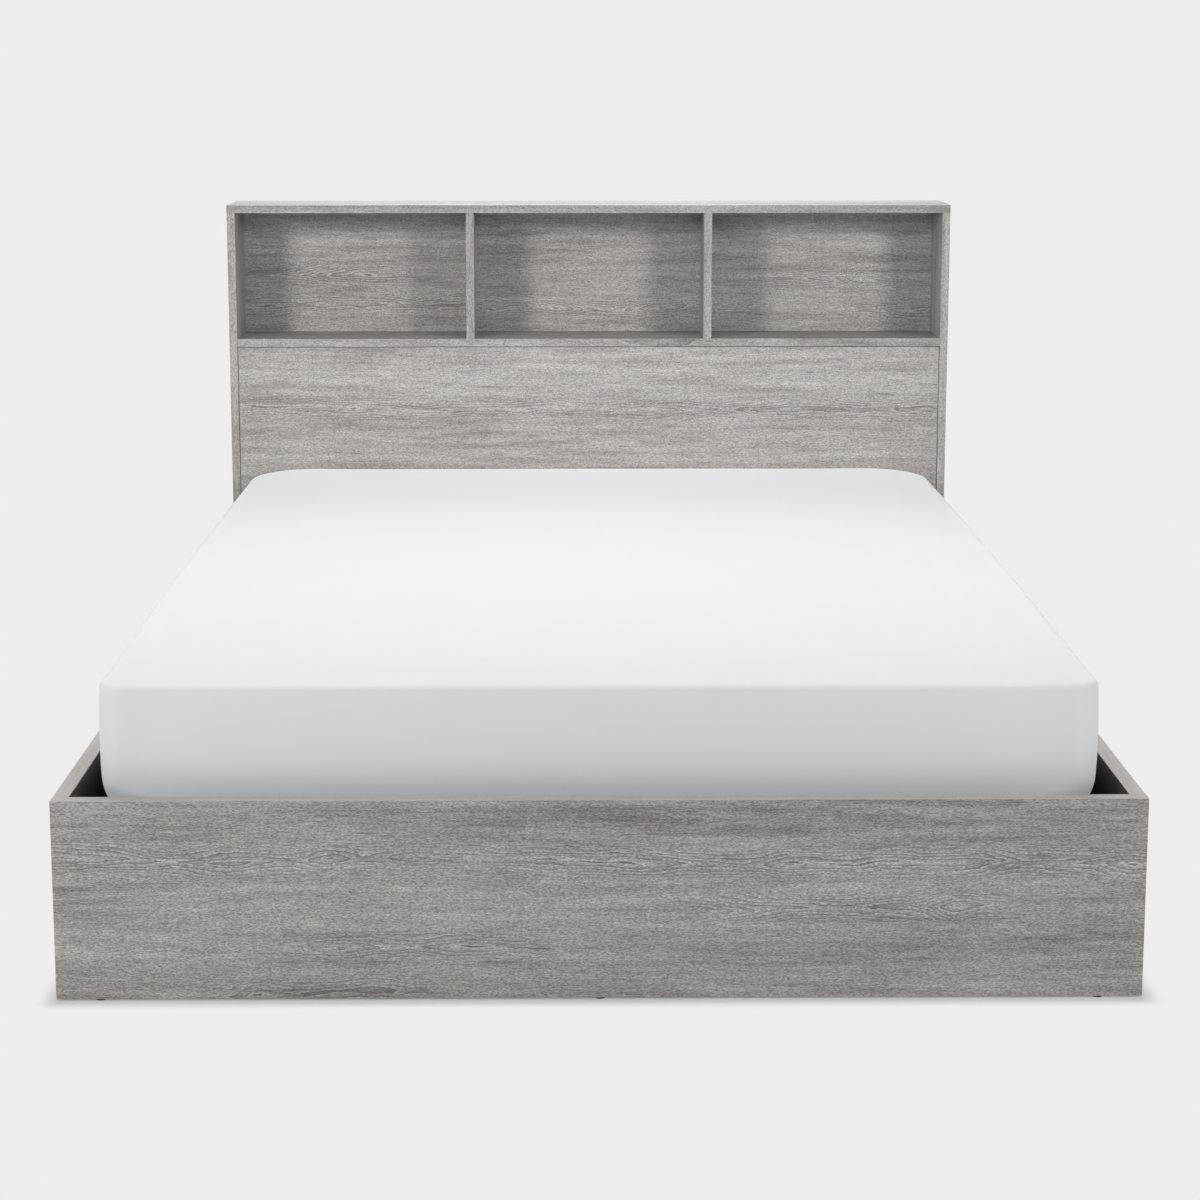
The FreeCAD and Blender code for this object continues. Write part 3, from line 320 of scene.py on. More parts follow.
@dataclass(frozen=True)
class BoardGrain:
    """Wood grain along the first axis: tone bands, streaks, fibres, and eyes along heart lines.

    The main heart line lies across the board at Heart, with rarer and shorter ones every heart_gap
    from it. The growth rings round a heart that wanders in and out of the board show as nested eyes.
    Reaches, gaps and rounds are in metres. A span holds the limits of a smooth step.
    """

    seed_step: Point = (1.73, 0.61, 0.37)
    bands: Layer = Layer(0.9, 10.0, 3.0)
    band_weight: float = 1.05
    streaks: Layer = Layer(5.5, 75.0, 2.0)
    fibres: Layer = Layer(26.0, 760.0, 1.0)
    fibre_weight: float = 0.72
    fibre_slip: float = 0.05
    fringe: float = 0.3
    ticks: Point = (430.0, 1150.0, 1150.0)
    tick_weight: float = 0.84
    row_shift: float = 40.0
    dashes: Layer = Layer(45.0, 800.0, 0.5)
    pore_span: Span = (0.55, 0.72)
    pore_weight: float = 0.2
    slits: Layer = Layer(11.0, 110.0, 2.0)
    slit_span: Span = (0.71, 0.79)
    slit_weight: float = 0.6
    heart_gap: float = 0.062
    line_step: float = 3.7
    wander: Layer = Layer(2.2, 1.0, 2.0)
    wander_reach: float = 0.045
    uneven: Layer = Layer(16.0, 70.0, 2.0)
    uneven_reach: float = 0.013
    depth: Layer = Layer(2.8, 1.0, 2.0, 0.4)
    depth_reach: float = 0.15
    ring_round: float = 0.003
    depth_round: float = 0.006
    shown: Layer = Layer(1.5, 1.0, 1.0)
    shown_span: Span = (0.32, 0.50)
    rarity: float = 0.23
    eye_span: Span = (0.010, 0.030)
    worn_span: Span = (-0.5, 0.1)
    worn_share: float = 0.4
    dark_power: float = 4.5
    dark_weight: float = -0.78
    pale_power: float = 3.5
    pale_weight: float = 0.56
    mark_depth: float = -0.7
    dark_depth: float = -0.4

    def group(self) -> NodeTree:
        """Builds the node group.

        Returns:
            The group.
        """
        plain = dict.fromkeys(("Figure", "Fibre", "Pores", "Ticks"), 1.0)
        bench = GroupBench("board_grain", {"Seed": 0.0, "Heart": 0.0, "Line Pitch": 0.0046, **plain})
        given = bench.given
        shift = bench.joined(*(given["Seed"] * step for step in self.seed_step))
        place = bench.vector("ADD", given["Vector"], shift)
        layers = (self.bands, self.streaks, self.fibres)
        bands, streaks, fibres = (bench.noise(place, layer) - 0.5 for layer in layers)
        grit = self._ticks(bench, place) - 0.5
        slipped = bench.vector("ADD", place, bench.joined(fibres * self.fibre_slip))
        pores = bench.smooth(bench.noise(slipped, self.dashes), *self.pore_span) * given["Pores"]
        slits = bench.smooth(bench.noise(place, self.slits), *self.slit_span)
        marks = bench.math("MAXIMUM", pores * self.pore_weight, slits * self.slit_weight)
        dark, pale = self._eyes(bench, place, fibres, grit)
        grainy = fibres * given["Fibre"]
        tone = bands * self.band_weight + 0.5 + streaks + grainy * self.fibre_weight
        tone = tone + dark * self.dark_weight
        return bench.ended(
            Tone=bench.math("MULTIPLY_ADD", pale, self.pale_weight, tone, clamp=True),
            Grit=grit * given["Ticks"] * self.tick_weight + 1.0,
            Marks=marks,
            Relief=grainy + marks * self.mark_depth + dark * self.dark_depth,
        )

    def _ticks(self, bench: GroupBench, place: NodeSocket) -> Wire:
        """Adds thin rows of ticks of random tone that run into each other along the grain.

        Args:
            bench: The group's bench.
            place: The place in the board, moved by the seed.

        Returns:
            The ticks' value.
        """
        counted = bench.vector("MULTIPLY", place, self.ticks)
        row = bench.vector("MULTIPLY", bench.vector("FLOOR", counted), (0.0, 1.0, 1.0))
        shift = bench.vector("MULTIPLY", bench.random(row)["Color"], (self.row_shift, 0.0, 0.0))
        start = bench.vector("ADD", shift, counted)
        cell = bench.vector("FLOOR", start)
        first = bench.random(cell)["Value"]
        second = bench.random(bench.vector("ADD", cell, (1.0, 0.0, 0.0)))["Value"]
        share = bench.smooth(bench.parts(bench.vector("SUBTRACT", start, cell))["X"], 0.0, 1.0)
        return first + share * (second - first)

    def _eyes(self, bench: GroupBench, place: NodeSocket, fibres: Wire, grit: Wire) -> tuple[Wire, Wire]:
        """Adds the nested eyes along the heart lines.

        Args:
            bench: The group's bench.
            place: The place in the board, moved by the seed.
            fibres: The fibres' value, about nought.
            grit: The ticks' value, about nought.

        Returns:
            How dark and how pale the rings are.
        """
        given = bench.given
        spot = bench.parts(given["Vector"])
        run = spot["X"] + given["Seed"] * self.seed_step[0]
        wander = bench.noise(run, self.wander) - 0.5
        offset = spot["Y"] - given["Heart"] + wander * self.wander_reach
        cell = bench.math("ROUND", offset / self.heart_gap)
        line = bench.joined(run, cell * self.line_step)
        uneven = bench.noise(place, self.uneven) - 0.5
        aside = offset - cell * self.heart_gap + uneven * self.uneven_reach
        deep = (bench.noise(line, self.depth) - 0.5) * self.depth_reach
        growth = bench.rounded(aside, self.ring_round) + bench.rounded(deep, self.depth_round)
        saw = bench.math("FRACT", growth / given["Line Pitch"] + fibres * self.fringe)
        rare = bench.smooth(abs(cell), 0.0, 1.0, 0.0, self.rarity)
        shown = bench.smooth(bench.noise(line, self.shown) - rare, *self.shown_span)
        heart = bench.smooth(abs(aside), *self.eye_span, 1.0, 0.0) * shown * given["Figure"]
        heart = heart * bench.smooth(grit, *self.worn_span, self.worn_share, 1.0)
        return saw**self.dark_power * heart, (1.0 - saw) ** self.pale_power * heart


SKIN_CLOUD = Layer(14.0, 14.0, 4.0)
SKIN_RELIEF = Layer(900.0, 900.0, 2.0)
YARN_WANDER = Layer(9.0, 9.0, 3.0)
YARN_CROSSING = 0.15


@cache
def board_grain() -> NodeTree:
    """The node group of wood grain, built at its first use."""
    return BoardGrain().group()


@cache
def fine_skin() -> NodeTree:
    """The fine uneven skin of paint, plastic and rubber, built at its first use.

    Returns:
        The node group.
    """
    bench = GroupBench("fine_skin", {"Scale": 1.0})
    place = bench.scaled(bench.given["Vector"], bench.given["Scale"])
    return bench.ended(Cloud=bench.noise(place, SKIN_CLOUD), Relief=bench.noise(place, SKIN_RELIEF))


@cache
def crossed_yarns() -> NodeTree:
    """Crossing yarns on a flat place given in metres, built at their first use.

    Returns:
        The node group.
    """
    bench = GroupBench("crossed_yarns", {"Pitch": 0.002})
    flat = bench.given["Vector"]
    spot = bench.parts(flat)
    warp, weft = (bench.math("SINE", spot[axis] / bench.given["Pitch"] * math.pi) for axis in "XY")
    over = bench.smooth(warp * weft, -YARN_CROSSING, YARN_CROSSING)
    height = abs(warp) * over + abs(weft) * (1.0 - over)
    return bench.ended(Height=height, Wander=bench.noise(flat, YARN_WANDER))


# Finishes


@dataclass(frozen=True)
class Finish:
    """A finish that its pieces share as one material."""

    name: str

    @cache
    def material(self) -> Material:
        """The finish's material, built at its first use.

        Returns:
            The material.
        """
        bench = MaterialBench(self.name)
        self.paint(bench)
        return bench.material

    def paint(self, bench: MaterialBench) -> None:
        """Feeds the material's shader."""
        raise NotImplementedError


class GrainWay(Enum):
    """The axes along the grain, across the board's face and through the board."""

    WIDTH = ("X", "Z", "Y")
    FLAT_WIDTH = ("X", "Y", "Z")
    LENGTH = ("Y", "Z", "X")
    HEIGHT_DEEP = ("Z", "Y", "X")


@dataclass(frozen=True)
class WoodTones:
    """The colours of one wood, from its darkest streak to its palest, and of its pores and slits."""

    deep: Colour
    dark: Colour
    middle: Colour
    pale: Colour
    mark: Colour

    def painted_light_copy(self, share: float) -> "WoodTones":
        """The same wood, darker or paler by a share: a copy with light and shade painted in."""
        return WoodTones(*(tuple(share * part for part in tone) for tone in astuple(self)))


OAK = WoodTones(
    deep=(0.205, 0.187, 0.173),
    dark=(0.315, 0.291, 0.273),
    middle=(0.400, 0.373, 0.353),
    pale=(0.535, 0.508, 0.485),
    mark=(0.150, 0.135, 0.125),
)
SOFTWOOD = WoodTones(
    deep=(0.36, 0.23, 0.12),
    dark=(0.50, 0.35, 0.20),
    middle=(0.60, 0.45, 0.28),
    pale=(0.70, 0.56, 0.38),
    mark=(0.30, 0.19, 0.10),
)
BIRCH = WoodTones(
    deep=(0.50, 0.36, 0.22),
    dark=(0.60, 0.45, 0.29),
    middle=(0.68, 0.53, 0.36),
    pale=(0.76, 0.62, 0.45),
    mark=(0.42, 0.29, 0.17),
)
# Near-black colour of the inner faces of the foot panel and rails: partly a dark inner face, partly painted
# shade of the deep gap beside the mattress.
DARK_INNER_AND_SHADE: Colour = (0.080, 0.080, 0.085)
TONE_STOPS = (0.0, 0.28, 0.52, 1.0)
CUT_ANGLE = 0.35
# How far the top faces of the foot panel and rails are mixed towards the palest tone: a painted highlight.
TOP_LIGHT_SHARE = 0.6
WOOD_GLOSS = 0.3
WOOD_GLOSS_SPREAD = 0.08
WOOD_RELIEF = 0.14
WOOD_DEPTH = 0.0004


@dataclass(frozen=True)
class WoodFinish(Finish):
    """One board's cut of a wood or wood print.

    dark_inner_reach is the distance from the bed's middle, through the board, inside which the face is
    painted near black: partly a dark inner face, partly painted shade of the narrow gap beside the mattress.
    top_light_above is the height above which the board's top face is painted paler, a painted highlight of
    the light that falls on it.
    light_shade_from is the place along the bed behind which the board's faces are painted paler or darker
    than its front edge, and light_shade_share is how pale they are beside it: a painted highlight on the top
    board's upper face, painted shade on the shelf's floor.
    """

    tones: WoodTones
    grain: GrainWay
    seed: float
    heart: float = 0.0
    figure: float = 1.0
    pitch: float = 0.0046
    fibre: float = 1.0
    pores: float = 1.0
    roughness: float = 0.48
    ticks: float = 1.0
    dark_inner_reach: Optional[float] = None
    top_light_above: Optional[float] = None
    light_shade_from: Optional[float] = None
    light_shade_share: float = 1.0

    def paint(self, bench: MaterialBench) -> None:
        """Feeds the material's shader.

        Args:
            bench: The material's bench.
        """
        spot = bench.parts(bench.place())
        turned = bench.joined(*(spot[axis] for axis in self.grain.value))
        cut = bench.node("Mapping", {"Vector": turned, "Rotation": (0.0, 0.0, math.radians(CUT_ANGLE))})
        feeds = {
            "Vector": cut.outputs[0],
            "Seed": self.seed,
            "Heart": self.heart,
            "Line Pitch": self.pitch,
            "Figure": self.figure,
            "Fibre": self.fibre,
            "Pores": self.pores,
            "Ticks": self.ticks,
        }
        grain = bench.group(board_grain(), feeds)
        stops = dict(zip(TONE_STOPS, astuple(self.tones)))
        colour = bench.scaled(bench.ramp(grain["Tone"], stops), grain["Grit"])
        colour = bench.mix(grain["Marks"], colour, self.tones.mark)
        # Painted shade, partly a dark inner face: the board's inner face is made near black.
        if self.dark_inner_reach is not None:
            colour = bench.mix(abs(spot[self.grain.value[2]]) < self.dark_inner_reach, colour, DARK_INNER_AND_SHADE)
        # Painted highlight: the board's top face is mixed towards its palest tone.
        if self.top_light_above is not None:
            colour = bench.mix((spot["Z"] > self.top_light_above) * TOP_LIGHT_SHARE, colour, self.tones.pale)
        # Painted light and shade: the faces behind the front edge are made paler on the top board and darker
        # on the shelf.
        if self.light_shade_from is not None:
            behind = spot["Y"] > self.light_shade_from
            colour = bench.scaled(colour, behind * (self.light_shade_share - 1.0) + 1.0)
        dull = self.roughness + WOOD_GLOSS_SPREAD / 2
        looks = {
            "Base Color": colour,
            "Roughness": dull - grain["Tone"] * WOOD_GLOSS_SPREAD,
            "Specular IOR Level": WOOD_GLOSS,
        }
        bench.show(looks, grain["Relief"], WOOD_RELIEF, WOOD_DEPTH)


SKIN_SPAN: Span = (0.35, 0.65)
SKIN_GLOSS_SPREAD = 0.12
SKIN_DEPTH = 0.0002


@dataclass(frozen=True)
class SkinFinish(Finish):
    """A painted, moulded or plated finish with a fine uneven skin."""

    colour: Colour
    drift: Colour
    roughness: float
    metallic: float = 0.0
    relief: float = 0.15
    scale: float = 1.0
    coat: float = 0.0

    def paint(self, bench: MaterialBench) -> None:
        """Feeds the material's shader.

        Args:
            bench: The material's bench.
        """
        skin = bench.group(fine_skin(), {"Vector": bench.place(), "Scale": self.scale})
        share = bench.smooth(skin["Cloud"], *SKIN_SPAN)
        looks = {
            "Base Color": bench.mix(share, self.colour, self.drift),
            "Roughness": skin["Cloud"] * SKIN_GLOSS_SPREAD + (self.roughness - SKIN_GLOSS_SPREAD / 2),
            "Metallic": self.metallic,
            "Coat Weight": self.coat,
        }
        bench.show(looks, skin["Relief"], self.relief, SKIN_DEPTH)


YARN_SHADE = 0.6
WANDER_SPAN: Span = (0.3, 0.8)
WANDER_SHADE = 0.25
YARN_GLOSS_SPREAD = 0.1
SHEEN_ROUGHNESS = 0.5


@dataclass(frozen=True)
class ClothFinish(Finish):
    """A woven or knitted cloth whose yarns follow the piece's own UV map, in metres."""

    colour: Colour
    shade: Colour
    pitch: float
    relief: float
    depth: float
    roughness: float
    sheen: float

    def paint(self, bench: MaterialBench) -> None:
        """Feeds the material's shader.

        Args:
            bench: The material's bench.
        """
        flat = bench.node("UVMap").outputs["UV"]
        yarn = bench.group(crossed_yarns(), {"Vector": flat, "Pitch": self.pitch})
        # Painted shade: the cloth darkens towards its shade colour in the low hollows between the yarns, with
        # a random darker tone from the wander on top.
        low = 1.0 - yarn["Height"]
        wander = bench.smooth(yarn["Wander"], *WANDER_SPAN)
        share = bench.math("MULTIPLY_ADD", wander, WANDER_SHADE, low**2.0 * YARN_SHADE, clamp=True)
        looks = {
            "Base Color": bench.mix(share, self.colour, self.shade),
            "Roughness": low * YARN_GLOSS_SPREAD + self.roughness,
            "Sheen Weight": self.sheen,
            "Sheen Roughness": SHEEN_ROUGHNESS,
        }
        bench.show(looks, yarn["Height"], self.relief, self.depth)


PLANED_SOFTWOOD = WoodFinish(
    "planed_softwood",
    SOFTWOOD,
    GrainWay.LENGTH,
    seed=41.0,
    heart=0.05,
    figure=0.8,
    pitch=0.009,
    fibre=0.7,
    pores=0.3,
    roughness=0.6,
    ticks=0.25,
)
CROSS_SOFTWOOD = replace(PLANED_SOFTWOOD, name="planed_softwood_cross", grain=GrainWay.WIDTH, seed=44.0)
BEECH_DOWEL = WoodFinish(
    "beech_dowel", BIRCH, GrainWay.WIDTH, 47.0, figure=0.3, pitch=0.004, pores=0.8, roughness=0.55, ticks=0.25
)
BIRCH_SLAT = WoodFinish(
    "birch_slat",
    BIRCH,
    GrainWay.FLAT_WIDTH,
    seed=52.0,
    heart=0.02,
    figure=0.5,
    pitch=0.005,
    fibre=0.8,
    pores=0.5,
    roughness=0.42,
    ticks=0.25,
)
POWDER_COAT = SkinFinish(
    "black_powder_coat", (0.030, 0.030, 0.033), (0.036, 0.036, 0.039), 0.46, relief=0.5, scale=0.6
)
ENAMEL = SkinFinish("black_enamel", (0.016, 0.016, 0.018), (0.020, 0.020, 0.022), 0.26, relief=0.05, coat=0.6)
CHROME = SkinFinish("polished_chrome", (0.78, 0.78, 0.80), (0.74, 0.74, 0.76), 0.12, 1.0, 0.02)
ZINC_PLATE = SkinFinish("zinc_plate", (0.60, 0.60, 0.58), (0.52, 0.54, 0.56), 0.34, 1.0, 0.10)
DIE_CAST = SkinFinish("die_cast_zinc", (0.46, 0.46, 0.46), (0.38, 0.38, 0.39), 0.46, 1.0, 0.35)
PLASTIC = SkinFinish("black_plastic", (0.022, 0.022, 0.024), (0.030, 0.030, 0.032), 0.52, relief=0.3)
NYLON = SkinFinish("natural_nylon", (0.74, 0.73, 0.69), (0.68, 0.67, 0.62), 0.42, relief=0.08)
RUBBER = SkinFinish("black_rubber", (0.026, 0.026, 0.026), (0.036, 0.036, 0.035), 0.78, relief=0.4)
HARDBOARD = SkinFinish(
    "dark_hardboard", (0.056, 0.052, 0.050), (0.066, 0.061, 0.058), 0.7, relief=0.45, scale=0.8
)
WHITE_TICKING = ClothFinish(
    "white_ticking",
    colour=(0.852, 0.864, 0.882),
    shade=(0.828, 0.842, 0.862),
    pitch=0.0016,
    relief=0.10,
    depth=0.0003,
    roughness=0.78,
    sheen=0.15,
)
BLACK_WEBBING = ClothFinish(
    "black_webbing",
    colour=(0.030, 0.030, 0.033),
    shade=(0.012, 0.012, 0.013),
    pitch=0.0024,
    relief=0.7,
    depth=0.0006,
    roughness=0.72,
    sheen=0.3,
)


# Pieces


def add_object(name: str, mesh: Mesh) -> Object:
    """Links a new object with this mesh into the scene.

    Args:
        name: The object's name.
        mesh: Its mesh.

    Returns:
        The object.
    """
    item = bpy.data.objects.new(name, mesh)
    bpy.context.scene.collection.objects.link(item)
    return item


def evaluated_mesh(item: Object) -> Mesh:
    """The object's mesh with its modifiers applied."""
    graph = bpy.context.evaluated_depsgraph_get()
    return bpy.data.meshes.new_from_object(item.evaluated_get(graph))


def apply_modifiers(item: Object) -> None:
    """Keeps the object's mesh as its modifiers leave it."""
    item.data = evaluated_mesh(item)
    item.modifiers.clear()


def dress(item: Object, material: Material) -> None:
    """Gives an object one material."""
    item.data.materials.clear()
    item.data.materials.append(material)


def dress_node(node: str, finish: Finish) -> None:
    """Gives a CAD node its finish."""
    dress(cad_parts[node], finish.material())
    log.info("%s: %s", node, finish.name)


def settle(item: Object, body: str, node: str) -> None:
    """Puts a piece on its body, in place of its CAD node.

    Args:
        item: The piece.
        body: The body that it moves with.
        node: The CAD node that it stands for.
    """
    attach(item, body)
    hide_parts(node)
    log.info("%s: %d faces on %s", item.name, len(item.data.polygons), body)


class Repeater(Bench):
    """A Geometry Nodes tree that repeats a shape, turned into a plain mesh."""

    prefix = "GeometryNode"

    def __init__(self, name: str) -> None:
        """Starts a tree with one geometry output.

        Args:
            name: The tree's name.
        """
        super().__init__(bpy.data.node_groups.new(name, "GeometryNodeTree"))
        self.tree.interface.new_socket(name="Geometry", in_out="OUTPUT", socket_type="NodeSocketGeometry")
        self.entry = self.node("NodeGroupInput")
        self.values: dict[str, object] = {}

    def start(self) -> NodeSocket:
        """Adds the geometry input, for the mesh that the tree starts from."""
        self.tree.interface.new_socket(name="Places", in_out="INPUT", socket_type="NodeSocketGeometry")
        return self.entry.outputs["Places"]

    def size(self, name: str, value: object, kind: str = "Float") -> NodeSocket:
        """Adds a named input.

        Args:
            name: The input's name.
            value: The value that the piece uses.
            kind: The socket's kind.

        Returns:
            The socket inside the tree.
        """
        socket = self.tree.interface.new_socket(name=name, in_out="INPUT", socket_type="NodeSocket" + kind)
        self.values[socket.identifier] = value
        return self.entry.outputs[name]

    def cylinder(self, name: str, radius: float, length: float, sides: int) -> Node:
        """Adds an upright cylinder with named sizes."""
        sizes = {"Radius": self.size(name + " Radius", radius), "Depth": self.size(name + " Length", length)}
        return self.node("MeshCylinder", {"Vertices": sides, **sizes})

    def raised(self, shape: Node, rise: float) -> NodeSocket:
        """Moves a shape up."""
        feeds = {"Geometry": shape.outputs[0], "Translation": (0.0, 0.0, rise)}
        return self.node("Transform", feeds).outputs[0]

    def piece(self, name: str, result: Node, finish: Finish, base: Optional[Mesh] = None) -> Object:
        """Ends the tree, runs it and keeps its result as a plain mesh.

        Args:
            name: The piece's name.
            result: The node whose instances are kept.
            finish: The finish of the whole piece.
            base: A mesh for the tree to start from.

        Returns:
            The piece.
        """
        real = self.node("RealizeInstances", {"Geometry": result.outputs[0]})
        dressed = self.node("SetMaterial", {"Geometry": real.outputs[0], "Material": finish.material()})
        self.node("NodeGroupOutput", {"Geometry": dressed.outputs[0]})
        item = add_object(name, base or bpy.data.meshes.new(name))
        modifier = item.modifiers.new("repeat", "NODES")
        modifier.node_group = self.tree
        for identifier, value in self.values.items():
            modifier[identifier] = value
        apply_modifiers(item)
        item.data.name = name
        return item


# Sub-assemblies


def both(name: str) -> tuple[str, str]:
    """The left and the right one of a pair of CAD nodes."""
    return "left_" + name, "right_" + name


@dataclass
class WoodenBox:
    """The boards of the box and of the bookcase headboard, and the timber inside."""

    rail_inner: float = 0.7087
    foot_inner: float = 1.0456
    # Height of the top faces of the rails and foot panel, above which a painted highlight is mixed in.
    rail_strip: float = 0.2775
    # A margin behind the top board's front face, after which the painted light and shade on the faces behind
    # it starts.
    front_face_margin: float = 0.0005

    def oak_boards(self) -> dict[str, WoodFinish]:
        """The oak print of each board.

        Returns:
            The finishes by CAD node.
        """
        wide, flat, upright = GrainWay.WIDTH, GrainWay.FLAT_WIDTH, GrainWay.HEIGHT_DEEP
        foot = {"dark_inner_reach": self.foot_inner, "top_light_above": self.rail_strip}
        rail = {"dark_inner_reach": self.rail_inner, "top_light_above": self.rail_strip}
        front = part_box("headboard_top")[0].y + self.front_face_margin
        # The fourth column paints light and shade: the one oak print is made darker or paler per board for
        # how the light falls on it, paler on the foot panel and darker on the headboard's sides, top, shelf,
        # dividers and front panel.
        rows = (
            ("foot_panel", wide, 3.1, 1.04, 0.195, foot),
            ("left_side_rail", GrainWay.LENGTH, 7.4, 1.0, 0.17, rail),
            ("right_side_rail", GrainWay.LENGTH, 9.2, 1.0, 0.19, rail),
            ("headboard_left_side", upright, 12.6, 0.90, 0.98, {}),
            ("headboard_right_side", upright, 14.9, 0.90, 0.99, {}),
            ("headboard_top", flat, 17.3, 0.80, 0.985, {"light_shade_from": front, "light_shade_share": 1.12}),
            ("headboard_shelf", flat, 19.8, 0.90, 0.98, {"light_shade_from": front, "light_shade_share": 0.72}),
            ("headboard_left_divider", upright, 22.1, 0.90, 0.98, {}),
            ("headboard_right_divider", upright, 24.7, 0.90, 0.98, {}),
            ("headboard_back_panel", wide, 28.4, 1.0, 0.735, {}),
            ("headboard_front_panel", wide, 33.0, 0.97, 0.54, {"figure": 0.8}),
            ("headboard_rear_brace", wide, 35.2, 1.0, 0.11, {}),
        )
        made = {}
        for node, grain, seed, share, heart, more in rows:
            name = "oak_" + node.removeprefix("headboard_").replace("side_rail", "rail")
            made[node] = WoodFinish(name, OAK.painted_light_copy(share), grain, seed, heart, **more)
        return made

    def dress(self) -> None:
        """Gives every board and every piece of timber its finish."""
        boards: dict[str, WoodFinish] = self.oak_boards()
        for node in ("floor_centre_beam", "floor_side_cleats", "platform_rests"):
            boards[node] = PLANED_SOFTWOOD
        boards["floor_end_cleats"] = CROSS_SOFTWOOD
        boards["joint_dowels"] = BEECH_DOWEL
        for node, finish in boards.items():
            dress_node(node, finish)


@dataclass
class Fittings:
    """Metal, plastic and rubber parts whose CAD shapes stay."""

    tubes: Sequence[str] = ("left", "right", "head", "foot", "centre")

    def finishes(self) -> dict[SkinFinish, tuple[str, ...]]:
        """Each finish and the CAD nodes that have it.

        Returns:
            The nodes by finish.
        """
        return {
            POWDER_COAT: (
                *(f"platform_{side}_tube" for side in self.tubes),
                *both("platform_plate"),
                *both("hinge_plate"),
                *both("lift_arm"),
                *both("guide_channel"),
                "mattress_retainer",
                "corner_brackets",
            ),
            ENAMEL: both("strut_cylinder"),
            CHROME: both("strut_rod"),
            ZINC_PLATE: (
                "lift_pivot_pins",
                "strut_foot_studs",
                "strut_head_studs",
                "platform_pivot_pins",
                "roller_axles",
                "platform_bolts",
                "joint_cam_bolts",
            ),
            DIE_CAST: ("joint_cam_locks",),
            PLASTIC: ("platform_tube_plugs", "side_slat_holders", "centre_slat_holders", "floor_glides"),
            NYLON: ("guide_rollers",),
            RUBBER: ("platform_rest_pads",),
            HARDBOARD: ("storage_floor_left", "storage_floor_right"),
        }

    def dress(self) -> None:
        """Gives every fitting its finish."""
        for finish, nodes in self.finishes().items():
            for node in nodes:
                dress_node(node, finish)


@dataclass
class PlateScrews:
    """The flush screws of the corner brackets, hinge plates and guide channels, with crossed slots."""

    head_radius: float = 0.0040
    head_height: float = 0.0014
    shank_radius: float = 0.0020
    shank_length: float = 0.0120
    slot_length: float = 0.0046
    slot_width: float = 0.0010
    slot_depth: float = 0.0009
    sides: int = 24
    weld: float = 1e-6
    rim_share: float = 0.9

    def build(self) -> None:
        """Builds the screws of both CAD nodes."""
        for node in ("bracket_screws", "mechanism_screws"):
            settle(self._repeat(node), "bed_box", node)

    def _places(self, node: str) -> Mesh:
        """Finds each screw of a CAD node.

        Args:
            node: The CAD node.

        Returns:
            A mesh with one point on each screw's head, and the way that the head faces.
        """
        form = bmesh.new()
        form.from_mesh(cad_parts[node].data)
        bmesh.ops.remove_doubles(form, verts=form.verts, dist=self.weld)
        heads: list[tuple[Vector, Vector]] = []
        seen: set[bmesh.types.BMVert] = set()
        for first in form.verts:
            if first in seen:
                continue
            shell = edge = {first}
            while edge:
                edge = {e.other_vert(v) for v in edge for e in v.link_edges} - shell
                shell = shell | edge
            seen |= shell
            heads.append(self._head([v.co for v in shell]))
        mesh = bpy.data.meshes.new(node)
        mesh.from_pydata([spot for spot, way in heads], [], [])
        facing = mesh.attributes.new("facing", "FLOAT_VECTOR", "POINT")
        for entry, (spot, way) in zip(facing.data, heads):
            entry.vector = way
        form.free()
        return mesh

    def _head(self, points: list[Vector]) -> tuple[Vector, Vector]:
        """Finds a screw's head.

        Args:
            points: The screw's points.

        Returns:
            The middle of the head's face and its outward direction.
        """
        low, high = (Vector(map(pick, zip(*points))) for pick in (min, max))
        spread = high - low
        middle = (low + high) / 2
        axis = max(range(3), key=lambda i: spread[i])
        sides = [i for i in range(3) if i != axis]
        rim = self.rim_share * self.head_radius
        wide = [p[axis] for p in points if max(abs(p[i] - middle[i]) for i in sides) > rim]
        way = Vector((0.0, 0.0, 0.0))
        way[axis] = 1.0 if sum(wide) / len(wide) > middle[axis] else -1.0
        return middle + way * (spread[axis] / 2), way

    def _repeat(self, node: str) -> Object:
        """Sets one screw on every place.

        Args:
            node: The CAD node that the screws stand for.

        Returns:
            The screws as one piece.
        """
        tree = Repeater("flush_screws")
        start = tree.start()
        half = self.head_height / 2
        deep = 2 * self.slot_depth
        slots = []
        for name, length, width in (
            ("Slot", self.slot_length, self.slot_width),
            ("Cross Slot", self.slot_width, self.slot_length),
        ):
            slot = tree.node("MeshCube", {"Size": tree.size(name, (length, width, deep), "Vector")})
            slots.append(tree.raised(slot, half))
        head = tree.cylinder("Head", self.head_radius, self.head_height, self.sides)
        cut = {"Mesh 1": head.outputs[0], "Mesh 2": slots}
        slotted = tree.node("MeshBoolean", cut, operation="DIFFERENCE")
        shank = tree.cylinder("Shank", self.shank_radius, self.shank_length, self.sides // 2)
        sunk = -self.head_height - self.shank_length / 2
        parts = [tree.raised(slotted, -half), tree.raised(shank, sunk)]
        screw = tree.node("JoinGeometry", {"Geometry": parts})
        facing = tree.node("InputNamedAttribute", {"Name": "facing"}, data_type="FLOAT_VECTOR")
        turn = tree.node("FunctionNodeAlignRotationToVector", {"Vector": facing.outputs[0]}, axis="Z")
        feeds = {"Points": start, "Instance": screw.outputs[0], "Rotation": turn.outputs[0]}
        row = tree.node("InstanceOnPoints", feeds)
        return tree.piece(node + "_slotted", row, ZINC_PLATE, self._places(node))


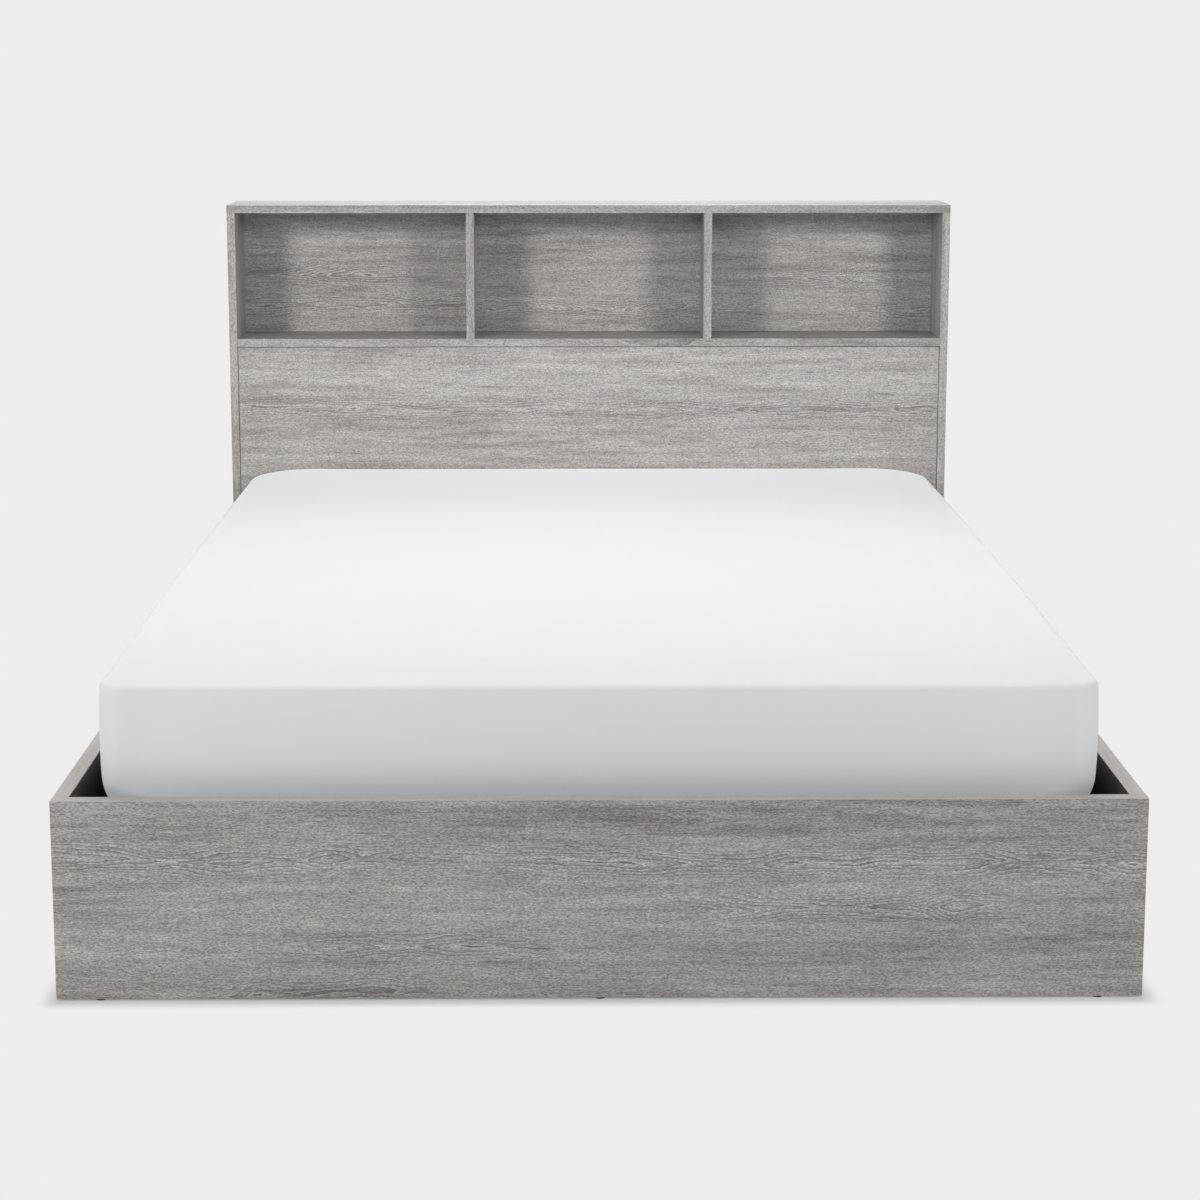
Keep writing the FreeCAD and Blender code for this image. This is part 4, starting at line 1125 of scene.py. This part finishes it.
@dataclass
class SlatBase:
    """Two rows of birch slats with rounded edges, in their holders."""

    count: int = 14
    width: float = 0.053
    edge: float = 0.003
    edge_steps: int = 3

    def build(self) -> None:
        """Builds both rows."""
        for node in both("slats"):
            settle(self._row(node), "platform", node)

    def _row(self, node: str) -> Object:
        """Repeats one slat along the bed.

        Args:
            node: The CAD node that the row stands for.

        Returns:
            The row as one piece.
        """
        low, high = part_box(node)
        level = (low.z + high.z) / 2
        tree = Repeater("slat_row")
        ends = {
            "Count": tree.size("Count", self.count, "Int"),
            "Start Location": tree.size("First", (0.0, low.y + self.width / 2, level), "Vector"),
            "Offset": tree.size("Last", (0.0, high.y - self.width / 2, level), "Vector"),
        }
        line = tree.node("MeshLine", ends, mode="END_POINTS")
        reach = {
            "Start": tree.size("Slat Start", (low.x, 0.0, 0.0), "Vector"),
            "End": tree.size("Slat End", (high.x, 0.0, 0.0), "Vector"),
        }
        across = tree.node("CurvePrimitiveLine", reach)
        section = {"Width": tree.size("Width", self.width), "Height": tree.size("Thickness", high.z - low.z)}
        outline = tree.node("CurvePrimitiveQuadrilateral", section)
        edge = tree.size("Edge", self.edge)
        fillet = {"Curve": outline.outputs[0], "Radius": edge, "Count": self.edge_steps}
        rounded = tree.node("FilletCurve", fillet, mode="POLY")
        sweep = {"Curve": across.outputs[0], "Profile Curve": rounded.outputs[0], "Fill Caps": True}
        slat = tree.node("CurveToMesh", sweep)
        row = tree.node("InstanceOnPoints", {"Points": line.outputs[0], "Instance": slat.outputs[0]})
        return tree.piece(node + "_birch", row, BIRCH_SLAT)


CLOTH_FILL = {
    "quality": 5,
    "mass": 0.4,
    "tension_stiffness": 40.0,
    "compression_stiffness": 40.0,
    "shear_stiffness": 20.0,
    "bending_stiffness": 8.0,
    "use_pressure": True,
    "uniform_pressure_force": 4.0,
    "vertex_group_mass": "held",
}


@dataclass
class Mattress:
    """The plain white mattress: crisp upper edges, rounded lower ones, full sides and a low crown.

    low and high are the corners of its CAD solid. Rims and corners are radii in metres, leans are
    angles in degrees between the side and the upright where the side meets a rim.
    """

    low: Vector
    high: Vector
    foot_corner: float = 0.032
    head_corner: float = 0.130
    top_rim: float = 0.008
    face_rim: float = 0.016
    head_rim: float = 0.036
    corner_rim: float = 0.037
    corner_reach: float = 0.14
    upper_lean: float = 16.0
    lower_lean: float = 14.0
    corner_lean: float = 1.5
    fullness: float = 0.002
    side_swell: float = 0.006
    swell_power: float = 0.8
    crown: float = 0.006
    cad_crown: float = 0.008
    along_steps: int = 70
    width_steps: int = 50
    corner_steps: int = 5
    rim_steps: int = 6
    side_steps: int = 8
    flat_normal: float = 0.7
    fill_frames: int = 20
    swell_cap: float = 0.004
    padding: float = 0.9

    def build(self) -> None:
        """Builds, fills and dresses the mattress."""
        item = add_object("mattress_cover", self._form())
        for polygon in item.data.polygons:
            polygon.use_smooth = True
        self._fill(item)
        smooth = item.modifiers.new("smooth", "SUBSURF")
        smooth.levels = smooth.render_levels = 1
        dress(item, WHITE_TICKING.material())
        settle(item, "platform", "mattress")

    def _outline(self) -> list[Span]:
        """The plan outline, anticlockwise from the middle of the left foot corner.

        Returns:
            The outline's points, with slightly full long sides.
        """
        side, foot, head = self.high.x, self.low.y, self.high.y
        f, h, half = self.foot_corner, self.head_corner, self.corner_steps
        arcs = []
        for way, y, radius, start in (
            (-1.0, foot + f, f, 180.0),
            (1.0, foot + f, f, 270.0),
            (1.0, head - h, h, 0.0),
            (-1.0, head - h, h, 90.0),
        ):
            turns = [math.radians(start + 45.0 * i / half) for i in range(2 * half + 1)]
            x = way * (side - radius)
            arcs.append([(x + radius * math.cos(a), y + radius * math.sin(a)) for a in turns])
        points: list[Span] = []
        runs = (self.width_steps, self.along_steps) * 2
        for arc, after, steps in zip(arcs, arcs[1:] + arcs[:1], runs):
            (x0, y0), (x1, y1) = arc[-1], after[0]
            points += arc[:-1]
            points += [(x0 + (x1 - x0) * i / steps, y0 + (y1 - y0) * i / steps) for i in range(steps)]
        full = []
        for x, y in points[half:] + points[:half]:
            t = min(1.0, max(0.0, (y - foot) / (head - foot)))
            swell = self.side_swell * math.sin(math.pi * t) ** self.swell_power
            full.append((x * (1.0 + swell / side), y))
        return full

    def _profile_at(self, x: float, y: float) -> list[Span]:
        """The profile at a place on the outline: straight with a large lower rim at the foot corners.

        Args:
            x: The place across the bed.
            y: The place along the bed.

        Returns:
            Rows of inset and height, from the lower face to the upper one.
        """
        low, high = self.low, self.high
        share = 1.0 - min(1.0, math.hypot(high.x - abs(x), y - low.y) / self.corner_reach)
        share *= share * (3.0 - 2.0 * share)
        rim = self.face_rim + (self.head_rim - self.face_rim) * (y - low.y) / (high.y - low.y)
        rim += (self.corner_rim - rim) * share
        upper = math.radians(self.upper_lean + (self.corner_lean - self.upper_lean) * share)
        lower = math.radians(self.lower_lean + (self.corner_lean - self.lower_lean) * share)
        return self._profile(rim, upper, lower)

    def _profile(self, rim: float, upper: float, lower: float) -> list[Span]:
        """A profile of three arcs that run into each other.

        Args:
            rim: The lower rim's radius.
            upper: The side's lean where the upper rim starts.
            lower: The side's lean where the lower rim ends.

        Returns:
            Rows of inset and height, from the lower face to the upper one.
        """
        tall = self.high.z - self.cad_crown - self.low.z
        rims = rim * (1.0 - math.sin(lower)) + self.top_rim * (1.0 - math.sin(upper))
        side = (tall - rims) / (math.sin(upper) + math.sin(lower))
        arcs = (
            (rim, -math.pi / 2, -lower, self.rim_steps),
            (side, -lower, upper, self.side_steps),
            (self.top_rim, upper, math.pi / 2, self.rim_steps),
        )
        rows = [(0.0, 0.0)]
        for radius, start, end, steps in arcs:
            out, z = rows[-1]
            for i in range(1, steps + 1):
                a = start + (end - start) * i / steps
                further = radius * (math.cos(a) - math.cos(start))
                rows.append((out + further, z + radius * (math.sin(a) - math.sin(start))))
        reach = rows[self.rim_steps + self.side_steps][0] - self.fullness
        return [(reach - out, z) for out, z in rows]

    def _form(self) -> Mesh:
        """The mattress's closed form before it is filled.

        Returns:
            The mesh, with a UV map in metres.
        """
        outline = self._outline()
        form = bmesh.new()
        columns: list[list[bmesh.types.BMVert]] = []
        for (x, y), ahead, behind in zip(outline, outline[1:] + outline[:1], outline[-1:] + outline[:-1]):
            n = Vector((ahead[1] - behind[1], behind[0] - ahead[0])).normalized()
            rows = self._profile_at(x, y)
            columns.append([form.verts.new((x - n.x * a, y - n.y * a, self.low.z + z)) for a, z in rows])
        for left, right in zip(columns, columns[1:] + columns[:1]):
            for j in range(len(left) - 1):
                form.faces.new((left[j], right[j], right[j + 1], left[j + 1]))
        self._panel(form, [column[-1] for column in columns], self.crown)
        self._panel(form, [column[0] for column in columns], 0.0)
        bmesh.ops.recalc_face_normals(form, faces=form.faces)
        self._unwrap(form)
        mesh = bpy.data.meshes.new("mattress_cover")
        form.to_mesh(mesh)
        form.free()
        return mesh

    def _panel(self, form: bmesh.types.BMesh, ring: list[bmesh.types.BMVert], crown: float) -> None:
        """Closes a ring with a grid of four-sided faces.

        Args:
            form: The mattress's mesh.
            ring: The ring, from the middle of the left foot corner.
            crown: The rise of the grid's middle.
        """
        across = self.width_steps + 2 * self.corner_steps
        length = self.along_steps + 2 * self.corner_steps
        near = ring[: across + 1]
        right = ring[across : across + length + 1]
        far = ring[across + length : 2 * across + length + 1][::-1]
        left = (ring[2 * across + length :] + ring[:1])[::-1]
        grid = [near]
        for j in range(1, length):
            t = j / length
            row = [left[j]]
            for i in range(1, across):
                s = i / across
                spot = near[i].co * (1 - t) + far[i].co * t + left[j].co * (1 - s) + right[j].co * s
                spot -= (near[0].co * (1 - s) + near[-1].co * s) * (1 - t)
                spot -= (far[0].co * (1 - s) + far[-1].co * s) * t
                spot.z += crown * self._crown_at(spot.x, spot.y)
                row.append(form.verts.new(spot))
            grid.append(row + [right[j]])
        grid.append(far)
        for a, b in zip(grid, grid[1:]):
            for i in range(across):
                form.faces.new((a[i], a[i + 1], b[i + 1], b[i]))

    def _unwrap(self, form: bmesh.types.BMesh) -> None:
        """Gives each face a flat UV map in metres along its own direction.

        Args:
            form: The mattress's mesh.
        """
        uv = form.loops.layers.uv.new("cloth")
        for face in form.faces:
            n = face.normal
            upright = (0, 2) if abs(n.y) > abs(n.x) else (1, 2)
            axes = (0, 1) if abs(n.z) > self.flat_normal else upright
            for loop in face.loops:
                loop[uv].uv = [loop.vert.co[axis] for axis in axes]

    def _crown_at(self, x: float, y: float) -> float:
        """The crown's share of its full rise at a place, 0 at the rim and 1 in the middle."""
        middle = (self.low.y + self.high.y) / 2
        along = min(1.0, abs(y - middle) / (self.high.y - middle))
        return (1.0 - min(1.0, abs(x) / self.high.x) ** 3) * (1.0 - along**4)

    def _fill(self, item: Object) -> None:
        """Fills the cover with a short cloth simulation, each point held near its start.

        Args:
            item: The mattress.
        """
        mesh = item.data
        start = [v.co.copy() for v in mesh.vertices]
        held = item.vertex_groups.new(name=CLOTH_FILL["vertex_group_mass"])
        held.add([v.index for v in mesh.vertices if v.co.z < self.low.z + self.face_rim], 1.0, "REPLACE")
        cloth = item.modifiers.new("fill", "CLOTH")
        for name, value in CLOTH_FILL.items():
            setattr(cloth.settings, name, value)
        cloth.settings.effector_weights.gravity = 0.0
        cloth.collision_settings.use_collision = False
        cloth.point_cache.frame_start, cloth.point_cache.frame_end = 1, self.fill_frames
        scene = bpy.context.scene
        for number in range(1, self.fill_frames + 1):
            scene.frame_set(number)
        filled = evaluated_mesh(item)
        moved = 0.0
        for v, at, after in zip(mesh.vertices, start, filled.vertices):
            step = after.co - at
            moved = max(moved, step.length)
            if step.length > self.swell_cap:
                step *= self.swell_cap / step.length
            v.co = at + step
        item.modifiers.remove(cloth)
        item.vertex_groups.clear()
        bpy.data.meshes.remove(filled)
        scene.frame_set(1)
        log.info("mattress filled, largest move %.4f m", moved)


@dataclass
class PullStrap:
    """The folded webbing tab on the foot tube, with a loop at its upper end.

    low and high are the corners of its CAD solid. The front ply runs into the loop after loop_turn
    degrees, from neck_share loops below the loop's middle.
    """

    low: Vector
    high: Vector
    ply: float = 0.0016
    ply_gap: float = 0.0004
    sewn: float = 0.02
    loop: float = 0.0041
    loop_lead: float = 0.004
    loop_turn: float = 250.0
    neck_share: float = 2.6
    turn_steps: int = 18

    def build(self) -> None:
        """Builds and dresses the strap."""
        path = self._path()
        item = add_object("pull_strap_webbing", self._ribbon(path))
        thick = item.modifiers.new("ply", "SOLIDIFY")
        thick.thickness = self.ply
        thick.offset = 0.0
        apply_modifiers(item)
        dress(item, BLACK_WEBBING.material())
        settle(item, "platform", "pull_strap")

    def _path(self) -> list[Vector]:
        """The strap's line from behind, up round the loop and down in front.

        Returns:
            Points of the line at the strap's middle.
        """
        foot = self.low.z
        back = self.high.y - self.ply / 2
        front = back - self.ply - self.ply_gap
        crest = self.high.z - self.ply / 2 - self.loop
        centre = Vector((0.0, back - self.loop, crest))
        rise = (foot, foot + self.sewn, crest - self.loop_lead)
        fall = (crest - self.neck_share * self.loop, foot + self.sewn, foot)
        points = [Vector((0.0, back, z)) for z in rise]
        for i in range(self.turn_steps + 1):
            a = math.radians(self.loop_turn * i / self.turn_steps)
            points.append(centre + Vector((0.0, math.cos(a), math.sin(a))) * self.loop)
        return points + [Vector((0.0, front, z)) for z in fall]

    def _ribbon(self, path: Sequence[Vector]) -> Mesh:
        """A flat ribbon along the path.

        Args:
            path: The ribbon's line.

        Returns:
            The mesh, with a UV map in metres.
        """
        left, right = self.low.x, self.high.x
        form = bmesh.new()
        uv = form.loops.layers.uv.new("cloth")
        rows = [[form.verts.new((x, p.y, p.z)) for x in (left, right)] for p in path]
        run = 0.0
        for (a, b), (start, end) in zip(zip(rows, rows[1:]), zip(path, path[1:])):
            ahead = run + (end - start).length
            face = form.faces.new((a[0], a[1], b[1], b[0]))
            for loop, spot in zip(face.loops, ((left, run), (right, run), (right, ahead), (left, ahead))):
                loop[uv].uv = spot
            face.smooth = True
            run = ahead
        mesh = bpy.data.meshes.new("pull_strap_webbing")
        form.to_mesh(mesh)
        form.free()
        return mesh


@dataclass(frozen=True)
class Lamp:
    """A square soft lamp: its place, the point it faces, its side, its beam in degrees and its watts."""

    name: str
    place: Point
    aim: Point
    side: float
    beam: float
    power: float

    def build(self) -> None:
        """Hangs the lamp."""
        data = bpy.data.lights.new(self.name, "AREA")
        data.shape = "SQUARE"
        data.size = self.side
        data.spread = math.radians(self.beam)
        data.energy = self.power
        lamp = bpy.data.objects.new(self.name, data)
        lamp.location = self.place
        lamp.rotation_euler = (Vector(self.aim) - Vector(self.place)).to_track_quat("-Z", "Y").to_euler()
        bpy.context.scene.collection.objects.link(lamp)


LAMPS = (
    Lamp("overhead", (0.0, 0.0, 3.0), (0.0, 0.0, 0.3), 2.2, 180.0, 37.0),
    Lamp("front_left", (-3.7, -3.9, 2.3), (-0.45, 0.9, 0.65), 1.2, 68.0, 22.4),
    Lamp("front_right", (3.7, -3.9, 2.3), (0.45, 0.9, 0.65), 1.2, 68.0, 18.7),
    Lamp("behind", (0.0, 4.6, 3.4), (0.0, 1.0, 0.5), 2.6, 180.0, 78.0),
)


@dataclass
class Studio:
    """The pale floor, the soft light and the camera at the photograph's angle.

    The floor fades into the backdrop over fade_reach from the bed, from fade_start of the way.
    """

    backdrop: float = 0.847
    floor_tone: float = 0.90
    floor_half: float = 9.0
    bed_half: Point = (0.73, 1.07, 0.0)
    fade_reach: float = 0.030
    fade_start: float = 0.3
    sky: float = 0.185
    sky_colour: Colour = (0.97, 0.985, 1.0)
    sensor: float = 36.0
    lens: float = 79.32
    shift: Span = (0.0045, -0.07)
    camera_place: Point = (-0.0404, -4.4595, 1.2503)
    camera_dip: float = 9.860
    camera_turn: float = -0.554

    def build(self) -> None:
        """Builds the floor, the world, the lamps and the camera."""
        bpy.context.scene.view_settings.view_transform = "Standard"
        self._floor()
        self._world()
        for lamp in LAMPS:
            lamp.build()
        self._camera()

    @staticmethod
    def _bench(owner: Union[Material, World]) -> ShaderBench:
        """Starts a material or a world with no nodes.

        Args:
            owner: The material or the world.

        Returns:
            A bench on its nodes.
        """
        owner.use_nodes = True
        owner.node_tree.nodes.clear()
        return ShaderBench(owner.node_tree)

    @staticmethod
    def _end(bench: ShaderBench, output: str, lit: Node, shown: Node, share: object = 1.0) -> None:
        """Shows one shader to rays from the camera, a mirror or glass, and another one to light.

        Args:
            bench: The bench to end.
            output: The type of the output node.
            lit: The shader for light.
            shown: The shader for what is seen.
            share: How much of the shown one is seen.
        """
        rays = bench.wires(bench.node("LightPath"))
        seen = bench.math("MAXIMUM", rays["Is Camera Ray"], rays["Is Glossy Ray"])
        seen = bench.math("MAXIMUM", seen, rays["Is Transmission Ray"])
        mixed = bench.node("MixShader", {0: seen * share, 1: lit.outputs[0], 2: shown.outputs[0]})
        bench.node(output, {"Surface": mixed.outputs[0]})

    def _floor(self) -> None:
        """A pale floor that fades into the backdrop away from the bed."""
        h = self.floor_half
        mesh = bpy.data.meshes.new("studio_floor")
        mesh.from_pydata([(-h, -h, 0.0), (h, -h, 0.0), (h, h, 0.0), (-h, h, 0.0)], [], [(0, 1, 2, 3)])
        floor = add_object("studio_floor", mesh)
        material = bpy.data.materials.new("studio_floor")
        bench = self._bench(material)
        away = bench.vector("SUBTRACT", bench.vector("ABSOLUTE", bench.place()), self.bed_half)
        away = bench.vector("MAXIMUM", away, (0.0, 0.0, 0.0))
        reach = bench.node("VectorMath", {0: away}, operation="LENGTH").outputs["Value"]
        fade = bench.smooth(reach, 0.0, self.fade_reach, self.fade_start, 1.0)
        matt = bench.node("BsdfDiffuse", {"Color": (self.floor_tone,) * 3})
        glow = bench.node("Emission", {"Color": (self.backdrop,) * 3})
        self._end(bench, "OutputMaterial", matt, glow, fade)
        dress(floor, material)

    def _world(self) -> None:
        """An even sky for light, and the backdrop's colour where it is seen."""
        world = bpy.data.worlds.new("studio")
        bpy.context.scene.world = world
        bench = self._bench(world)
        light = bench.node("Background", {"Color": self.sky_colour, "Strength": self.sky})
        shown = bench.node("Background", {"Color": (self.backdrop,) * 3})
        self._end(bench, "OutputWorld", light, shown)

    def _camera(self) -> None:
        """The camera of the photograph, high at the foot end."""
        data = bpy.data.cameras.new("photo_camera")
        data.sensor_width = self.sensor
        data.lens = self.lens
        data.shift_x, data.shift_y = self.shift
        camera = bpy.data.objects.new("photo_camera", data)
        camera.location = self.camera_place
        camera.rotation_euler = (math.radians(90.0 - self.camera_dip), 0.0, math.radians(self.camera_turn))
        bpy.context.scene.collection.objects.link(camera)
        bpy.context.scene.camera = camera


def main() -> None:
    """Builds the bed's looks, one sub-assembly after another."""
    logging.basicConfig(level=logging.INFO, format="%(name)s: %(message)s")
    Studio().build()
    WoodenBox().dress()
    Fittings().dress()
    PlateScrews().build()
    SlatBase().build()
    Mattress(*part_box("mattress")).build()
    PullStrap(*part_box("pull_strap")).build()


if __name__ == "__main__":
    main()
